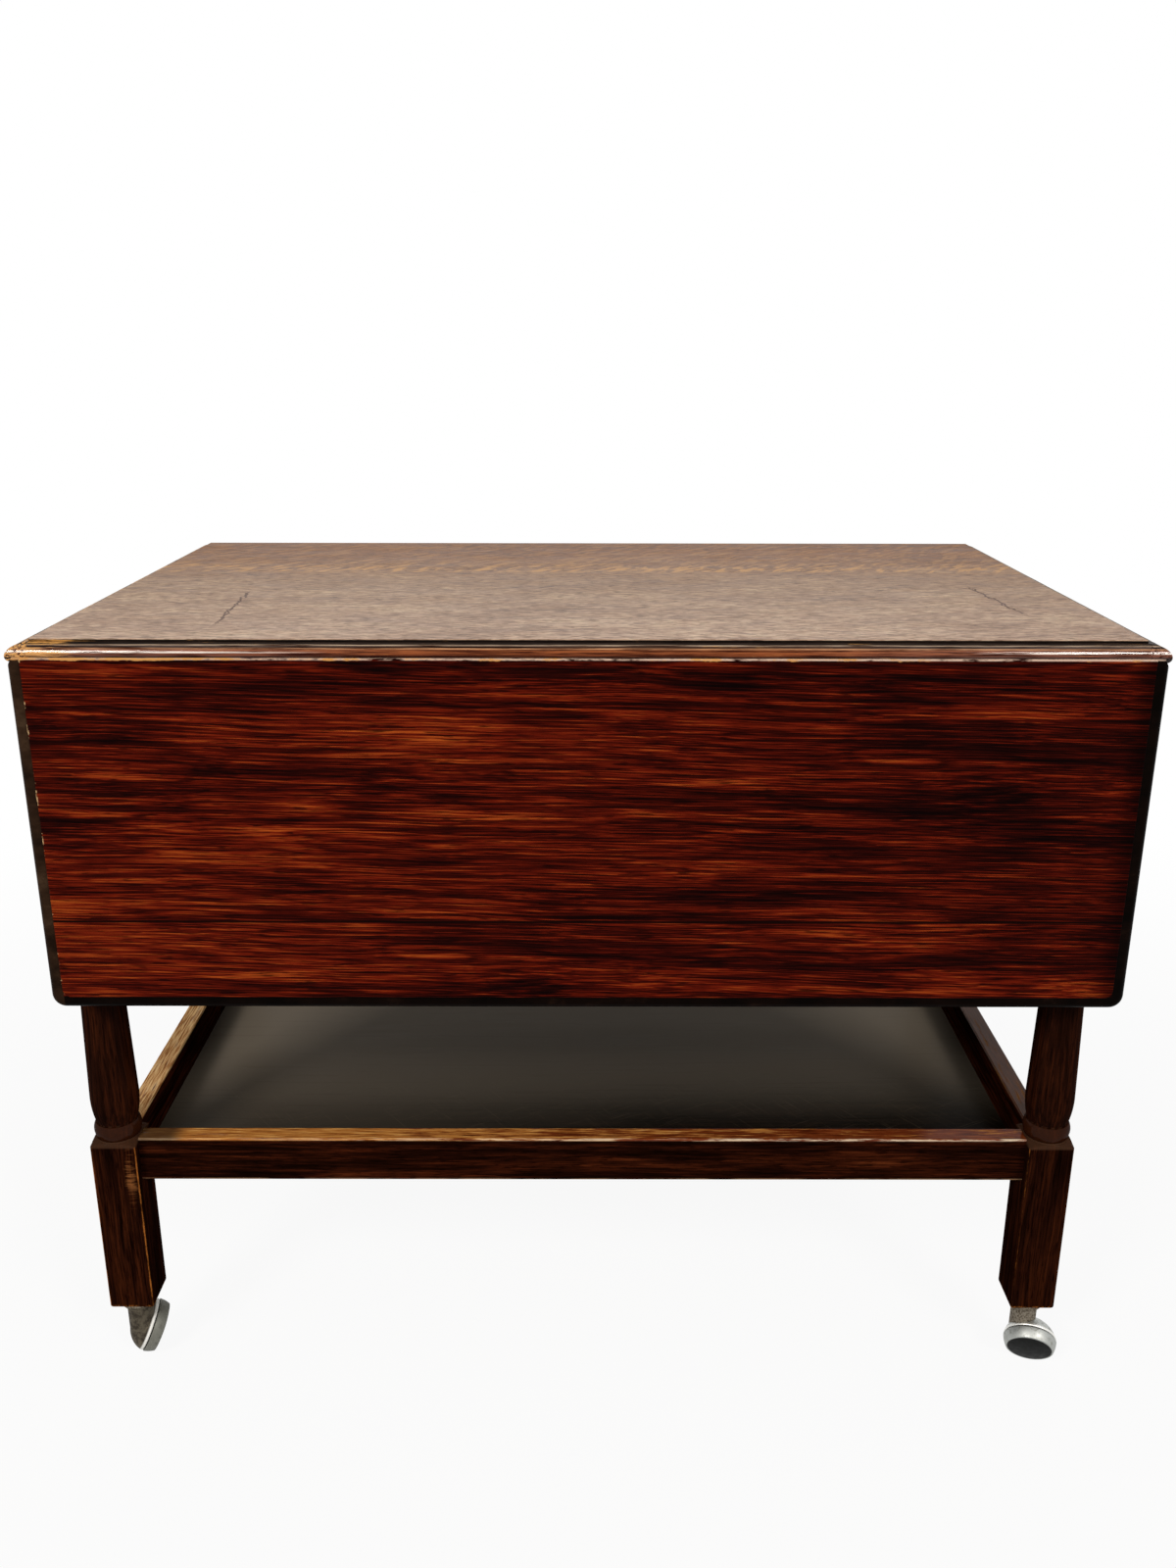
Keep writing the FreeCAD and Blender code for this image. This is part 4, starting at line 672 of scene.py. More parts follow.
@dataclass(frozen=True)
class RailOak(FumedOak):
    """Tray rails: their top arrises are rubbed to golden wood by trays sliding over them."""

    def marks(self) -> list[Row]:
        """Golden top edge, strongest at the left, a painted white highlight along the front arris at the
        right, a pale lower arris.

        Returns:
            The rows; the last is "marked".
        """
        return [
            ("high", "MapRange", SMOOTH, {"Value": "split:Z", "From": (205.0, 206.2)}),
            ("chip_at", "Mapping", {}, {"Vector": "mm", "Scale": self.fibre.stretch(38, 3.4)}),
            ("chip", "TexNoise", {}, {"Vector": "chip_at", "Scale": 1.0, "Detail": 5.0, "Roughness": 0.7}),
            ("leftward", "MapRange", {}, {"Value": "split:X", "From": (-300.0, 230.0), "To": (0.13, -0.10)}),
            ("rub", "Math", PLUS, {0: "chip", 1: "leftward"}),
            ("rubbed", "MapRange", SMOOTH, {"Value": "rub", "From": (0.44, 0.58)}),
            # Streaks in the golden wood are 1 mm wide.
            ("thin_at", "Mapping", {}, {"Vector": "mm", "Scale": self.fibre.stretch(26, 1.0)}),
            ("thin", "TexNoise", {}, {"Vector": "thin_at", "Scale": 1.0, "Detail": 3.0, "Roughness": 0.65}),
            ("gold", "ValToRGB",
             {"ramp": ((0.3, "#5e2c0c"), (0.48, "#a5652c"), (0.62, "#d09850"), (0.75, "#e8bf80"))},
             {"Fac": "thin"}),
            ("red", "ValToRGB", {"ramp": ((0.3, "#280d05"), (0.5, "#64290f"), (0.7, "#8c4a22"))},
             {"Fac": "thin"}),
            ("crest", "Mix", COLOUR, {"Factor": "rubbed", "A": "red", "B": "gold"}),
            # The stain is whole where the long rails meet the left legs, and on the right rail.
            ("near_leg", "MapRange", SMOOTH,
             {"Value": "split:X", "From": (-322.0, -306.0),
              "To": (0.85 if self.fibre is Fibre.ALONG_X else 0.0, 0.0)}),
            ("far_rail", "MapRange", {}, {"Value": "split:X", "From": (342.0, 343.0), "To": (0.0, 0.75)}),
            ("grey", "Math", HIGHER, {0: "near_leg", 1: "far_rail"}),
            ("greyed", "Mix", COLOUR, {"Factor": "grey", "A": "crest", "B": tone("#35261a")}),
            # The left rail is bleached in streaks.
            ("left_side", "MapRange", {}, {"Value": "split:X", "From": (-350.0, -349.0), "To": (1.0, 0.0)}),
            ("bleached", "MapRange", {}, {"Value": "thin", "From": (0.42, 0.6), "To": (0.05, 0.7)}),
            ("left_rail", "Math", TIMES, {0: "left_side", 1: "bleached"}),
            ("paled", "Mix", COLOUR, {"Factor": "left_rail", "A": "greyed", "B": tone("#e6c896")}),
            ("golden", "Mix", COLOUR, {"Factor": "high", "A": "wood", "B": "paled"}),
            # Painted highlight: a white line along the front arris, strongest at the right.
            ("front", "MapRange", {}, {"Value": "split:Y", "From": (-196.4, -195.8), "To": (1.0, 0.0)}),
            ("ridge", "Math", TIMES, {0: "front", 1: "high"}),
            ("ridge_on", "MapRange", {}, {"Value": "chip", "From": (0.46, 0.56), "To": (0.0, 0.8)}),
            ("ridge_right", "MapRange", {}, {"Value": "split:X", "From": (-260.0, 80.0), "To": (0.2, 1.0)}),
            ("ridge_share", "Math", TIMES, {0: "ridge_on", 1: "ridge_right"}),
            ("ridge_worn", "Math", TIMES, {0: "ridge", 1: "ridge_share"}),
            ("ridged", "Mix", COLOUR, {"Factor": "ridge_worn", "A": "golden", "B": tone("#d8c4a8")}),
            ("low", "MapRange", {}, {"Value": "split:Z", "From": (171.9, 172.6), "To": (0.7, 0.0)}),
            ("low_on", "MapRange", {}, {"Value": "chip", "From": (0.42, 0.55)}),
            ("low_worn", "Math", TIMES, {0: "low", 1: "low_on"}),
            ("marked", "Mix", COLOUR, {"Factor": "low_worn", "A": "ridged", "B": tone("#8a6a4e")}),
        ]

    def gloss(self) -> tuple[list[Row], dict]:
        """Varnish still bright on the top edge where it isn't rubbed.

        Returns:
            The rows and the inputs of the coat.
        """
        return [
            ("whole", "Math", MINUS, {0: 1.0, 1: "rubbed"}),
            ("kept", "Math", TIMES, {0: "whole", 1: "high"}),
            ("coat", "Math", TIMES, {0: "kept", 1: 0.3}),
        ], {"Coat Weight": "coat", "Coat Roughness": 0.14}


@dataclass(frozen=True)
class TrayPly(FumedOak):
    """Floor of the tray: black-stained plywood, with fine scratches from years of crockery."""

    def marks(self) -> list[Row]:
        """Grey scratches under 1 mm wide in two slanting directions, and dust with painted sheen.

        Returns:
            The rows; the last is "marked".
        """
        rows: list[Row] = []
        for name, turn in (("one", 0.5), ("two", -0.9)):
            rows += [
                (f"{name}_at", "Mapping", {"vector_type": "TEXTURE"},
                 {"Vector": "mm", "Scale": (40, 0.9, 1), "Rotation": (0, 0, turn)}),
                (f"{name}_scratch", "TexNoise", {}, {"Vector": f"{name}_at", "Scale": 1.0, "Detail": 2.0}),
                (f"{name}_cut", "MapRange", {},
                 {"Value": f"{name}_scratch", "From": (0.64, 0.74), "To": (0.0, 0.35)}),
            ]
        return rows + [
            ("scratched", "Math", HIGHER, {0: "one_cut", 1: "two_cut"}),
            ("scored", "Mix", COLOUR, {"Factor": "scratched", "A": "wood", "B": tone("#4e4234")}),
            # Lighter at the back and at the left end: dust, and painted sheen where the floor mirrors the
            # light.
            ("back_dust", "MapRange", SMOOTH,
             {"Value": "split:Y", "From": (-140.0, 60.0), "To": (0.0, 0.95)}),
            ("left_dust", "MapRange", {}, {"Value": "split:X", "From": (-350.0, 60.0), "To": (0.25, 0.0)}),
            ("dusty", "Math", PLUS, {0: "back_dust", 1: "left_dust"}),
            ("marked", "Mix", COLOUR, {"Factor": "dusty", "A": "scored", "B": tone("#7a7062")}),
        ]


@dataclass(frozen=True)
class Metal:
    """Metal whose surface is scuffed in patches, and is painted dark as shade by the attribute "soot".

    The attribute "rim" marks an edge painted pale as a highlight.
    """

    name: str
    colour: str
    dirt: str
    metallic: float = 1.0
    roughness: float = 0.3
    cover: float = 0.55
    patch: float = 6.0

    def make(self) -> bpy.types.Material:
        """Build the material, rougher and dirtier in patches.

        Returns:
            The material.
        """
        material = bpy.data.materials.new(self.name)
        lay(material, [
            *IN_MM,
            ("scuff", "TexNoise", {},
             {"Vector": "mm", "Scale": 1 / self.patch, "Detail": 6.0, "Roughness": 0.7}),
            ("soot", "Attribute", {"attribute_name": "soot"}, {}),
            ("dirty", "MapRange", SMOOTH, {"Value": "scuff", "From": (self.cover - 0.08, self.cover + 0.12)}),
            ("colour", "Mix", COLOUR, {"Factor": "dirty", "A": tone(self.colour), "B": tone(self.dirt)}),
            # Painted shade: where the attribute is set the metal is painted near black and stops mirroring.
            ("sooty", "Mix", COLOUR, {"Factor": "soot:Fac", "A": "colour", "B": tone("#0b0c0b")}),
            ("rim", "Attribute", {"attribute_name": "rim"}, {}),
            ("edged", "Mix", COLOUR, {"Factor": "rim:Fac", "A": "sooty", "B": tone("#e6e5e0")}),
            ("clean", "MapRange", {}, {"Value": "soot:Fac", "To": (self.metallic, 0.0)}),
            ("rough", "MapRange", {},
             {"Value": "scuff", "From": (0.3, 0.7), "To": (self.roughness, min(1.0, self.roughness + 0.25))}),
            ("body", "BsdfPrincipled", {},
             {"Base Color": "edged", "Metallic": "clean", "Roughness": "rough", "Specular IOR Level": 0.08}),
            ("out", "OutputMaterial", {}, {"Surface": "body:BSDF"}),
        ])
        return material


# What the rails share, and what the aprons share, whichever way their fibres run.
RAIL_LOOK: dict = {"tones": ((0.25, "#090301"), (0.46, "#1c0904"), (0.62, "#351408"), (0.84, "#562812")),
                   "pore": "#050201", "line": (50, 1.8), "streak": (120, 5.0), "patch": (150, 14),
                   "weights": (0.8, 0.6, 0.7), "specular": 0.0}
APRON_LOOK: dict = {"tones": ((0.25, "#0e0604"), (0.5, "#2e120a"), (0.8, "#5a2a12")), "pore": "#080301"}


class Finish(Enum):
    """The finishes of the trolley."""

    TOP = TopOak("fumed_oak_top", Fibre.ALONG_X,
                 ((0.15, "#6c5440"), (0.38, "#9f826f"), (0.55, "#be9f88"), (0.80, "#e4ceb2")), "#50392a",
                 line=(11, 1.5), streak=(46, 6.0), patch=(120, 46), dash=(9, 1.7), weights=(1.2, 0.36, 0.42),
                 dash_cover=0.43, dash_edge=0.04, dash_strength=0.6, roughness=0.42, specular=0.05,
                 relief=0.3)
    LEAF = LeafOak("stained_oak_leaf", Fibre.ALONG_X,
                   ((0.18, "#090101"), (0.38, "#200402"), (0.54, "#3d0903"), (0.70, "#661908"),
                    (0.94, "#984416")),
                   "#080101", line=(62, 1.0), streak=(170, 5.0), patch=(230, 24), dash=(24, 0.8),
                   weights=(1.4, 0.75, 0.85), dash_edge=0.04, dash_strength=0.8, slope=-1.2, roughness=0.36,
                   specular=0.015, relief=0.12)
    LEG = LegOak("fumed_oak_leg", Fibre.ALONG_Z,
                 ((0.25, "#0a0301"), (0.48, "#1c0a05"), (0.64, "#301408"), (0.85, "#46200f")), "#040101",
                 line=(60, 1.5), streak=(120, 5.0), patch=(150, 16), dash=(16, 0.9), weights=(0.8, 0.6, 0.7),
                 specular=0.0, roughness=0.32)
    RAIL_X = RailOak("fumed_oak_long_rail", Fibre.ALONG_X, **RAIL_LOOK)
    RAIL_Y = RailOak("fumed_oak_short_rail", Fibre.ALONG_Y, **RAIL_LOOK)
    APRON_X = FumedOak("fumed_oak_long_apron", Fibre.ALONG_X, **APRON_LOOK)
    APRON_Y = FumedOak("fumed_oak_short_apron", Fibre.ALONG_Y, **APRON_LOOK)
    TRAY = TrayPly("varnished_ply_tray", Fibre.ALONG_X,
                   ((0.25, "#050301"), (0.5, "#0d0703"), (0.8, "#1a1008")), "#050301", line=(30, 1.2),
                   dash=(7, 0.9), specular=0.012, roughness=0.3, relief=0.12)
    BEECH = FumedOak("planed_beech", Fibre.ALONG_X, ((0.25, "#8a6238"), (0.5, "#a67a4a"), (0.8, "#bd9260")),
                     "#6e4a28", dash_strength=0.3, roughness=0.6, specular=0.3)
    ARM = FumedOak("planed_beech_arm", Fibre.ALONG_Z, ((0.25, "#7a532e"), (0.5, "#966a3c"), (0.8, "#b08452")),
                   "#5e3e20", dash_strength=0.3, roughness=0.55, specular=0.3)
    HINGE = Metal("brown_hinge_steel", "#6a5a48", "#2e2218", roughness=0.42, cover=0.5)
    SCREW = Metal("screw_steel", "#8a8378", "#3c332a", roughness=0.35, cover=0.55, patch=3.0)
    BRACKET = Metal("bracket_steel", "#5a544c", "#2a241e", roughness=0.45, cover=0.5)
    HOOD = Metal("nickel_plated_hood", "#b6b8b4", "#84847c", roughness=0.36, cover=0.56, patch=4.0)
    SCUFFED = Metal("scuffed_hood", "#5a5346", "#38322a", metallic=0.2, roughness=0.5, cover=0.5, patch=5.0)
    NECK = Metal("dusty_swivel_neck", "#857d70", "#463c30", metallic=0.3, roughness=0.5, cover=0.5, patch=1.6)
    WHEEL = Metal("nickel_plated_wheel", "#aaaca8", "#7e7e76", roughness=0.38, cover=0.6, patch=4.0)
    DULL = Metal("dull_steel_wheel", "#77776f", "#5c5c54", metallic=0.4, roughness=0.4, cover=0.6)

    def material(self) -> bpy.types.Material:
        """The finish's material, made once."""
        return bpy.data.materials.get(self.value.name) or self.value.make()


def dress(piece: bpy.types.Object, finish: Finish) -> None:
    """Give a piece one finish."""
    piece.data.materials.clear()
    piece.data.materials.append(finish.material())


def dress_node(node: str, finish: Finish) -> None:
    """Give a carried-over node one finish in all its slots.

    Args:
        node: Name of the node.
        finish: Its finish.
    """
    piece = frame["nodes"][node]
    if not piece.material_slots:
        piece.data.materials.append(finish.material())
    for slot in piece.material_slots:
        slot.material = finish.material()
    LOG.info("%s wears %s", node, finish.value.name)


# --- sub-assemblies -----------------------------------------------------------------------------

FREE = 99.0  # a radius or half side too large to limit a leg's section


def band(height: np.ndarray | float, radius: np.ndarray | float, half: np.ndarray | float,
         wear: float, dust: float, gloss: float) -> np.ndarray:
    """Rows of a leg's table; a single value holds for the whole band.

    Args:
        height: Heights.
        radius: Radii of the turned section.
        half: Half sides of the square section.
        wear: Share of bare wood.
        dust: Share of dust.
        gloss: Share of bright varnish.

    Returns:
        Array of row and these six.
    """
    columns = np.atleast_1d(height, radius, half, wear, dust, gloss)
    return np.stack(np.broadcast_arrays(*columns), axis=-1)


def fold(angle: np.ndarray) -> np.ndarray:
    """Angle from the middle of the square's nearest flat, from 0 to a quarter of pi at a corner."""
    return np.abs((angle + math.pi / 4) % (math.pi / 2) - math.pi / 4)


@dataclass
class Leg:
    """Leg with two square blocks, a bead, a slim tapered shaft and a ring, worked on one polar grid.

    Its section reaches as far as the nearer of a circle and a square with rounded corners. Places that
    end in "_at" are heights, and turns are half angles of the bead's and the ring's arcs in degrees.
    """

    corner: Corner
    half: float = 17.25
    arris: float = 1.5
    corner_reach: float = 23.8
    foot: float = 57.0
    foot_arris: float = 2.5
    block_top: float = 207.0
    upper_block: float = 498.4
    head: float = 588.4
    rake: float = 0.42
    shoulder: float = 6.6
    disc: float = 16.9
    disc_top: float = 208.2
    collar: float = 16.0
    bead: float = 17.6
    bead_circle: float = 12.05
    bead_at: float = 214.2
    bead_turn: float = 29.86
    neck: float = 15.2
    neck_at: float = 220.2
    swell: float = 18.0
    swell_at: float = 241.2
    swell_rise: float = 21.0
    swell_depth: float = 2.8
    slim: float = 11.6
    slim_at: float = 490.4
    ring_seat: float = 13.0
    ring: float = 14.6
    ring_circle: float = 5.8
    ring_at: float = 494.4
    ring_turn: float = 43.6

    def square(self, angle: np.ndarray, half: np.ndarray) -> np.ndarray:
        """Distance from the axis to a square with rounded corners.

        On a flat it is half / cos(a), a being measured from the flat's middle. At a corner it is the
        far crossing of the ray with the arris's circle, b + sqrt(b^2 - 2 m^2 + c^2), where m is the
        circle's middle along each axis, c its radius and b = m (cos a + sin a).

        Args:
            angle: Angles about the axis.
            half: Half sides of the square.

        Returns:
            The distances.
        """
        folded, middle = fold(angle), half - self.arris
        flat = half / np.cos(folded)
        reach = middle * (np.cos(folded) + np.sin(folded))
        corner = reach + np.sqrt(np.maximum(reach ** 2 - 2 * middle ** 2 + self.arris ** 2, 0))
        return np.where(np.tan(folded) * half < middle, flat, corner)

    def turning(self) -> list[np.ndarray]:
        """Bands of the turned part: disc, collar, bead, neck, swell and taper, and ring.

        The swell's arc starts swell_rise below its widest place and swell_depth inside it, so the
        radius of its circle is (rise^2 + depth^2) / (2 depth). From there the shaft tapers evenly.

        Returns:
            The bands from below.
        """
        bead = arc((self.bead - self.bead_circle, self.bead_at), self.bead_circle,
                   -self.bead_turn, self.bead_turn, 15)
        circle = (self.swell_rise ** 2 + self.swell_depth ** 2) / (2 * self.swell_depth)
        swell = arc((self.swell - circle, self.swell_at), circle,
                    -math.degrees(math.asin(self.swell_rise / circle)), 0, 12)
        share = np.linspace(0, 1, 24)[1:]
        taper = np.stack([self.swell + (self.slim - self.swell) * share,
                          self.swell_at + (self.slim_at - self.swell_at) * share], axis=-1)
        shaft = np.concatenate([swell, taper])
        ring = arc((self.ring - self.ring_circle, self.ring_at), self.ring_circle,
                   -self.ring_turn, self.ring_turn, 11)
        return [
            band(np.array([self.block_top, self.disc_top]), self.disc, FREE, 0.2, 0.5, 0.3),
            band(self.disc_top, self.collar, FREE, 0.0, 0.0, 0.6),
            band(bead[:, 1], bead[:, 0], FREE, 0.1, 0.0, 1.0),
            band(self.neck_at, self.neck, FREE, 0.1, 0.3, 0.3),
            band(shaft[:, 1], shaft[:, 0], FREE, 0.0, 0.0, 0.12),
            band(self.slim_at, self.ring_seat, FREE, 0.0, 0.0, 0.3),
            band(ring[:, 1], ring[:, 0], FREE, 0.1, 0.0, 1.0),
        ]

    def rows(self) -> np.ndarray:
        """The whole leg's table, from the foot up; each block's shoulder is a cone of slope rake.

        Returns:
            Array of row and height, turned radius, half side, wear, dust and gloss.
        """
        turn = np.radians(np.linspace(0, 90, 6))
        drop = self.rake * self.shoulder
        block = np.linspace(self.foot + 4.0, self.block_top - drop - 1.5, 40)
        lower = np.linspace(self.block_top - drop, self.block_top, 9)
        upper = np.linspace(self.upper_block, self.upper_block + drop, 9)
        return np.concatenate([
            band(self.foot + self.foot_arris * (1 - np.cos(turn)), FREE,
                 self.half - self.foot_arris * (1 - np.sin(turn)), 0.55, 0.0, 0.0),
            band(block, FREE, self.half, 0.0, 0.0, 0.0),
            band(lower, self.half + (self.block_top - lower) / self.rake, self.half, 0.1, 0.35, 0.3),
            *self.turning(),
            band(upper, self.half + (upper - self.upper_block) / self.rake, self.half, 0.1, 0.2, 0.0),
            band(np.array([self.upper_block + drop + 1.5, self.head]), FREE, self.half, 0.0, 0.0, 0.0),
        ])

    def rubbing(self, angle: np.ndarray) -> np.ndarray:
        """Share of bare wood near a block's corners: it grows from 2.7 to 1.1 degrees off the corner."""
        return np.clip((np.degrees(fold(angle)) - 42.3) / 1.6, 0, 1) * (0.68 if self.corner.shabby else 0.48)

    def scraping(self, angle: np.ndarray, height: np.ndarray) -> np.ndarray:
        """Share scraped bare near the block's corner that faces the rail, as exp(-(distance / width)^2)."""
        around, upward = (np.degrees(angle) - 303.0) / 15.0, (height - 176.0) / 34.0
        return self.corner.shabby * 0.56 * np.exp(-around ** 2 - upward ** 2)

    def build(self) -> bpy.types.Object:
        """Work out the leg on a grid of height and angle and put it in its node's place.

        Returns:
            The leg.
        """
        # Columns: 15 over each flat, and 15 closer together over each arris.
        quarter = np.concatenate([np.linspace(-38, 38, 15), np.linspace(40, 50, 15)])
        angle = np.radians(np.concatenate([quarter + start for start in (0, 90, 180, 270)]))
        height, radius, half, wear, dust, gloss = self.rows().T[:, :, None]
        reach = np.minimum(self.square(angle[None, :], half), radius)
        x, y = self.corner.axis
        rings = np.stack([x + reach * np.cos(angle), y + reach * np.sin(angle),
                          np.broadcast_to(height, reach.shape)], axis=-1)
        on_block = radius > self.corner_reach
        layers = {"wear": np.maximum(wear, self.rubbing(angle[None, :]) * on_block),
                  "dust": np.broadcast_to(dust, reach.shape),
                  "gloss": np.broadcast_to(gloss, reach.shape),
                  "scrape": self.scraping(angle[None, :], height) * on_block}
        piece = skin(f"{self.corner.word}_turned_leg", rings, layers)
        dress(piece, Finish.LEG)
        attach(piece, "frame")
        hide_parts(f"{self.corner.word}_leg")
        LOG.info("%s has %d faces", piece.name, len(piece.data.polygons))
        return piece


@dataclass
class Caster:
    """Ball caster: a flattened hood that swivels, and a domed wheel on a leaning axle.

    Both are turned about the axle, with the hood below its zero and the wheel above. The wheel leans by
    lean degrees, its ball lies outset and trail away from the stem, and blind is the metal left behind
    each blind bore. The hood's inside starts hood_inside below its zero.
    """

    corner: Corner
    ball: float = 20.5
    wall: float = 1.9
    gap: float = 0.35
    lean: float = 25.0
    outset: float = 5.0
    trail: float = 7.0
    hub: float = 5.0
    blind: float = 3.0
    hood_depth: float = 16.0
    hood_lip: float = 0.95
    hood_inside: float = 1.9
    hood_bore: float = 2.5
    hood_hub_end: float = -1.2
    wheel_band: float = 8.8
    wheel_depth: float = 10.8
    wheel_lip: float = 1.1
    wheel_bore: float = 2.55
    wheel_hub_end: float = 0.6
    neck: float = 10.0
    neck_least: float = 27.0

    def place(self, rings: np.ndarray) -> np.ndarray:
        """Turn rings drawn about the axle to where the wheel leans, at the ball's centre.

        Args:
            rings: Rings about the z axis.

        Returns:
            The rings turned about y by the lean, about z by the heading, and moved.
        """
        heading, lean = math.radians(self.corner.value[2]), math.radians(90 + self.lean)
        about_y = np.array([[math.cos(lean), 0, math.sin(lean)], [0, 1, 0],
                            [-math.sin(lean), 0, math.cos(lean)]])
        about_z = np.array([[math.cos(heading), -math.sin(heading), 0],
                            [math.sin(heading), math.cos(heading), 0], [0, 0, 1]])
        x, y = self.corner.axis
        centre = np.array([x + self.outset * math.cos(heading) - self.trail * math.sin(heading),
                           y + self.outset * math.sin(heading) + self.trail * math.cos(heading), self.ball])
        return rings @ (about_z @ about_y).T + centre

    @property
    def dome(self) -> tuple[float, float]:
        """Radius of the hood's sphere through its pole and rim, (r^2 + d^2) / 2d, and its middle."""
        radius = (self.ball ** 2 + self.hood_depth ** 2) / (2 * self.hood_depth)
        return radius, radius - self.hood_depth

    def hood_profile(self) -> np.ndarray:
        """Outside, rolled rim and inside of the hood, and the hub for the axle.

        Returns:
            Array of point and (radius, height).
        """
        radius, middle = self.dome
        inner = radius - self.wall
        edge = math.degrees(math.asin((middle + self.gap + self.hood_lip) / radius))
        outside = arc((0, middle), radius, -90, -edge, 26)
        # The rolled rim stands 0.05 mm proud of the outside.
        rim = arc((outside[-1, 0] - 0.9, -self.gap - self.hood_lip), self.hood_lip, 0, 180, 9)
        inside = arc((0, middle), inner, -math.degrees(math.asin((middle + self.hood_inside) / inner)),
                     -math.degrees(math.acos(self.hub / inner)), 20)
        bore_end = self.blind - self.hood_depth
        hub = [(self.hub, self.hood_hub_end), (self.hood_bore, self.hood_hub_end),
               (self.hood_bore, bore_end), (0.0, bore_end)]
        return np.concatenate([outside, rim, inside, hub])

    def wheel_profile(self) -> np.ndarray:
        """Crown, tread, rolled rim and inside of the wheel, with its hub and blind bore.

        The crown's circle goes through the pole and the end of the tread: its middle lies at
        b - (t^2 - r^2) / 2r, b being the band's height, t its radius and r the crown's rise over it.

        Returns:
            Array of point and (radius, height).
        """
        end, rise = math.sqrt(self.ball ** 2 - self.wheel_band ** 2), self.wheel_depth - self.wheel_band
        middle = self.wheel_band - (end ** 2 - rise ** 2) / (2 * rise)
        radius = self.wheel_depth - middle
        crown = arc((0, middle), radius, 90, math.degrees(math.asin((self.wheel_band - middle) / radius)), 24)
        # The tread stops 1.2 degrees short of the gap, where the rim rolls in.
        tread = arc((0, 0), self.ball, math.degrees(math.asin(self.wheel_band / self.ball)),
                    math.degrees(math.asin(self.gap / self.ball)) + 1.2, 16)
        rim = arc((self.ball - self.wheel_lip, self.gap + self.wheel_lip), self.wheel_lip, 0, -180, 7)
        web, bore_end = self.wheel_band - self.wheel_lip, self.wheel_depth - self.blind
        inside = [(end - 2 * self.wheel_lip, web), (self.hub, web), (self.hub, self.wheel_hub_end),
                  (self.wheel_bore, self.wheel_hub_end), (self.wheel_bore, bore_end), (0.0, bore_end)]
        return np.concatenate([crown, tread, rim, inside])

    def neck_rings(self) -> np.ndarray:
        """Rings of the neck round the stem; its foot follows the hood's sphere, 1 mm inside it.

        Over the point (x, y) the sphere lies at z = c + sqrt(R^2 - (x - a)^2 - (y - b)^2), where (a, b, c)
        is its middle. Where it lies under neck_least the foot stays there.

        Returns:
            Array of ring, point and coordinate.
        """
        radius, middle = self.dome
        x, y = self.corner.axis
        centre = self.place(np.array([[[0.0, 0.0, middle]]]))[0, 0]
        # Height of the three lowest rings over the sphere; above them a cove, a bead and a flat top.
        over = np.array([[0.0], [0.8], [4.0]])
        foot = [(9.2, 0.0), (self.neck, 0.0), (self.neck, 0.0)]
        top = np.concatenate([[(self.neck, 49.0)], arc((11.5, 49.6), 1.5, 160, 100, 4),
                              arc((12.0, 51.9), 1.0, -90, 90, 7), [(9.0, 53.9), (4.0, 54.0)]])
        rings = turned(np.concatenate([foot, top]), 48) + np.array([x, y, 0])
        away = (rings[1, :, 0] - centre[0]) ** 2 + (rings[1, :, 1] - centre[1]) ** 2
        sphere = centre[2] + np.sqrt(np.maximum((radius - 1.0) ** 2 - away, 0))
        rings[:3, :, 2] = np.maximum(sphere, self.neck_least) + over
        return rings

    def build(self) -> list[bpy.types.Object]:
        """Make the hood with its neck, and the wheel, and dress the pieces carried over.

        Returns:
            The hood, the neck and the wheel.
        """
        word, worn = self.corner.word, self.corner.shabby
        profile = self.hood_profile()
        rings = turned(profile)
        # The hood's edge gets a painted highlight; the wheel inside 17.6 mm is painted dark as shade.
        rim = np.clip((profile[:, 1] + 3.1) / 0.3, 0, 1) * np.clip((profile[:, 0] - 18.8) / 0.3, 0, 1)
        hood = skin(f"{word}_hood_shell", self.place(rings),
                    {"rim": np.broadcast_to(rim[:, None], rings.shape[:2])})
        profile = self.wheel_profile()
        rings = turned(profile)
        soot = np.clip((17.6 - profile[:, 0]) / 0.4, 0, 1)
        wheel = skin(f"{word}_ball_wheel", self.place(rings),
                     {"soot": np.broadcast_to(soot[:, None], rings.shape[:2])})
        neck = skin(f"{word}_swivel_neck", self.neck_rings())
        for piece, body, slot, finish in (
                (hood, "swivel", "caster_steel", Finish.SCUFFED if worn else Finish.HOOD),
                (neck, "swivel", "caster_steel", Finish.SCUFFED if worn else Finish.NECK),
                (wheel, "wheel", "caster_wheel_steel", Finish.DULL if worn else Finish.WHEEL)):
            dress(piece, finish)
            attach(piece, f"{word}_{body}")
        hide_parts(f"{word}_caster_hood")
        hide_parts(f"{word}_caster_wheel")
        for part, finish in (("stem", Finish.SCREW), ("axle", Finish.SCREW), ("socket", Finish.NECK)):
            dress_node(f"{word}_caster_{part}", finish)
        return [hood, neck, wheel]


@dataclass
class LeafSet:
    """One leaf with its hinges, screws, stops and support arms, all carried over."""

    side: Side

    def build(self) -> None:
        """Dress the leaf's nodes."""
        for part, finish in (("leaf", Finish.LEAF), ("hinge_leaf_flaps", Finish.HINGE),
                             ("hinge_top_flaps", Finish.HINGE), ("hinge_pins", Finish.HINGE),
                             ("leaf_flap_screws", Finish.SCREW), ("leaf_stops", Finish.BEECH),
                             ("left_arm", Finish.ARM), ("left_bracket", Finish.BRACKET),
                             ("right_arm", Finish.ARM), ("right_bracket", Finish.BRACKET)):
            dress_node(f"{self.side.value}_{part}", finish)


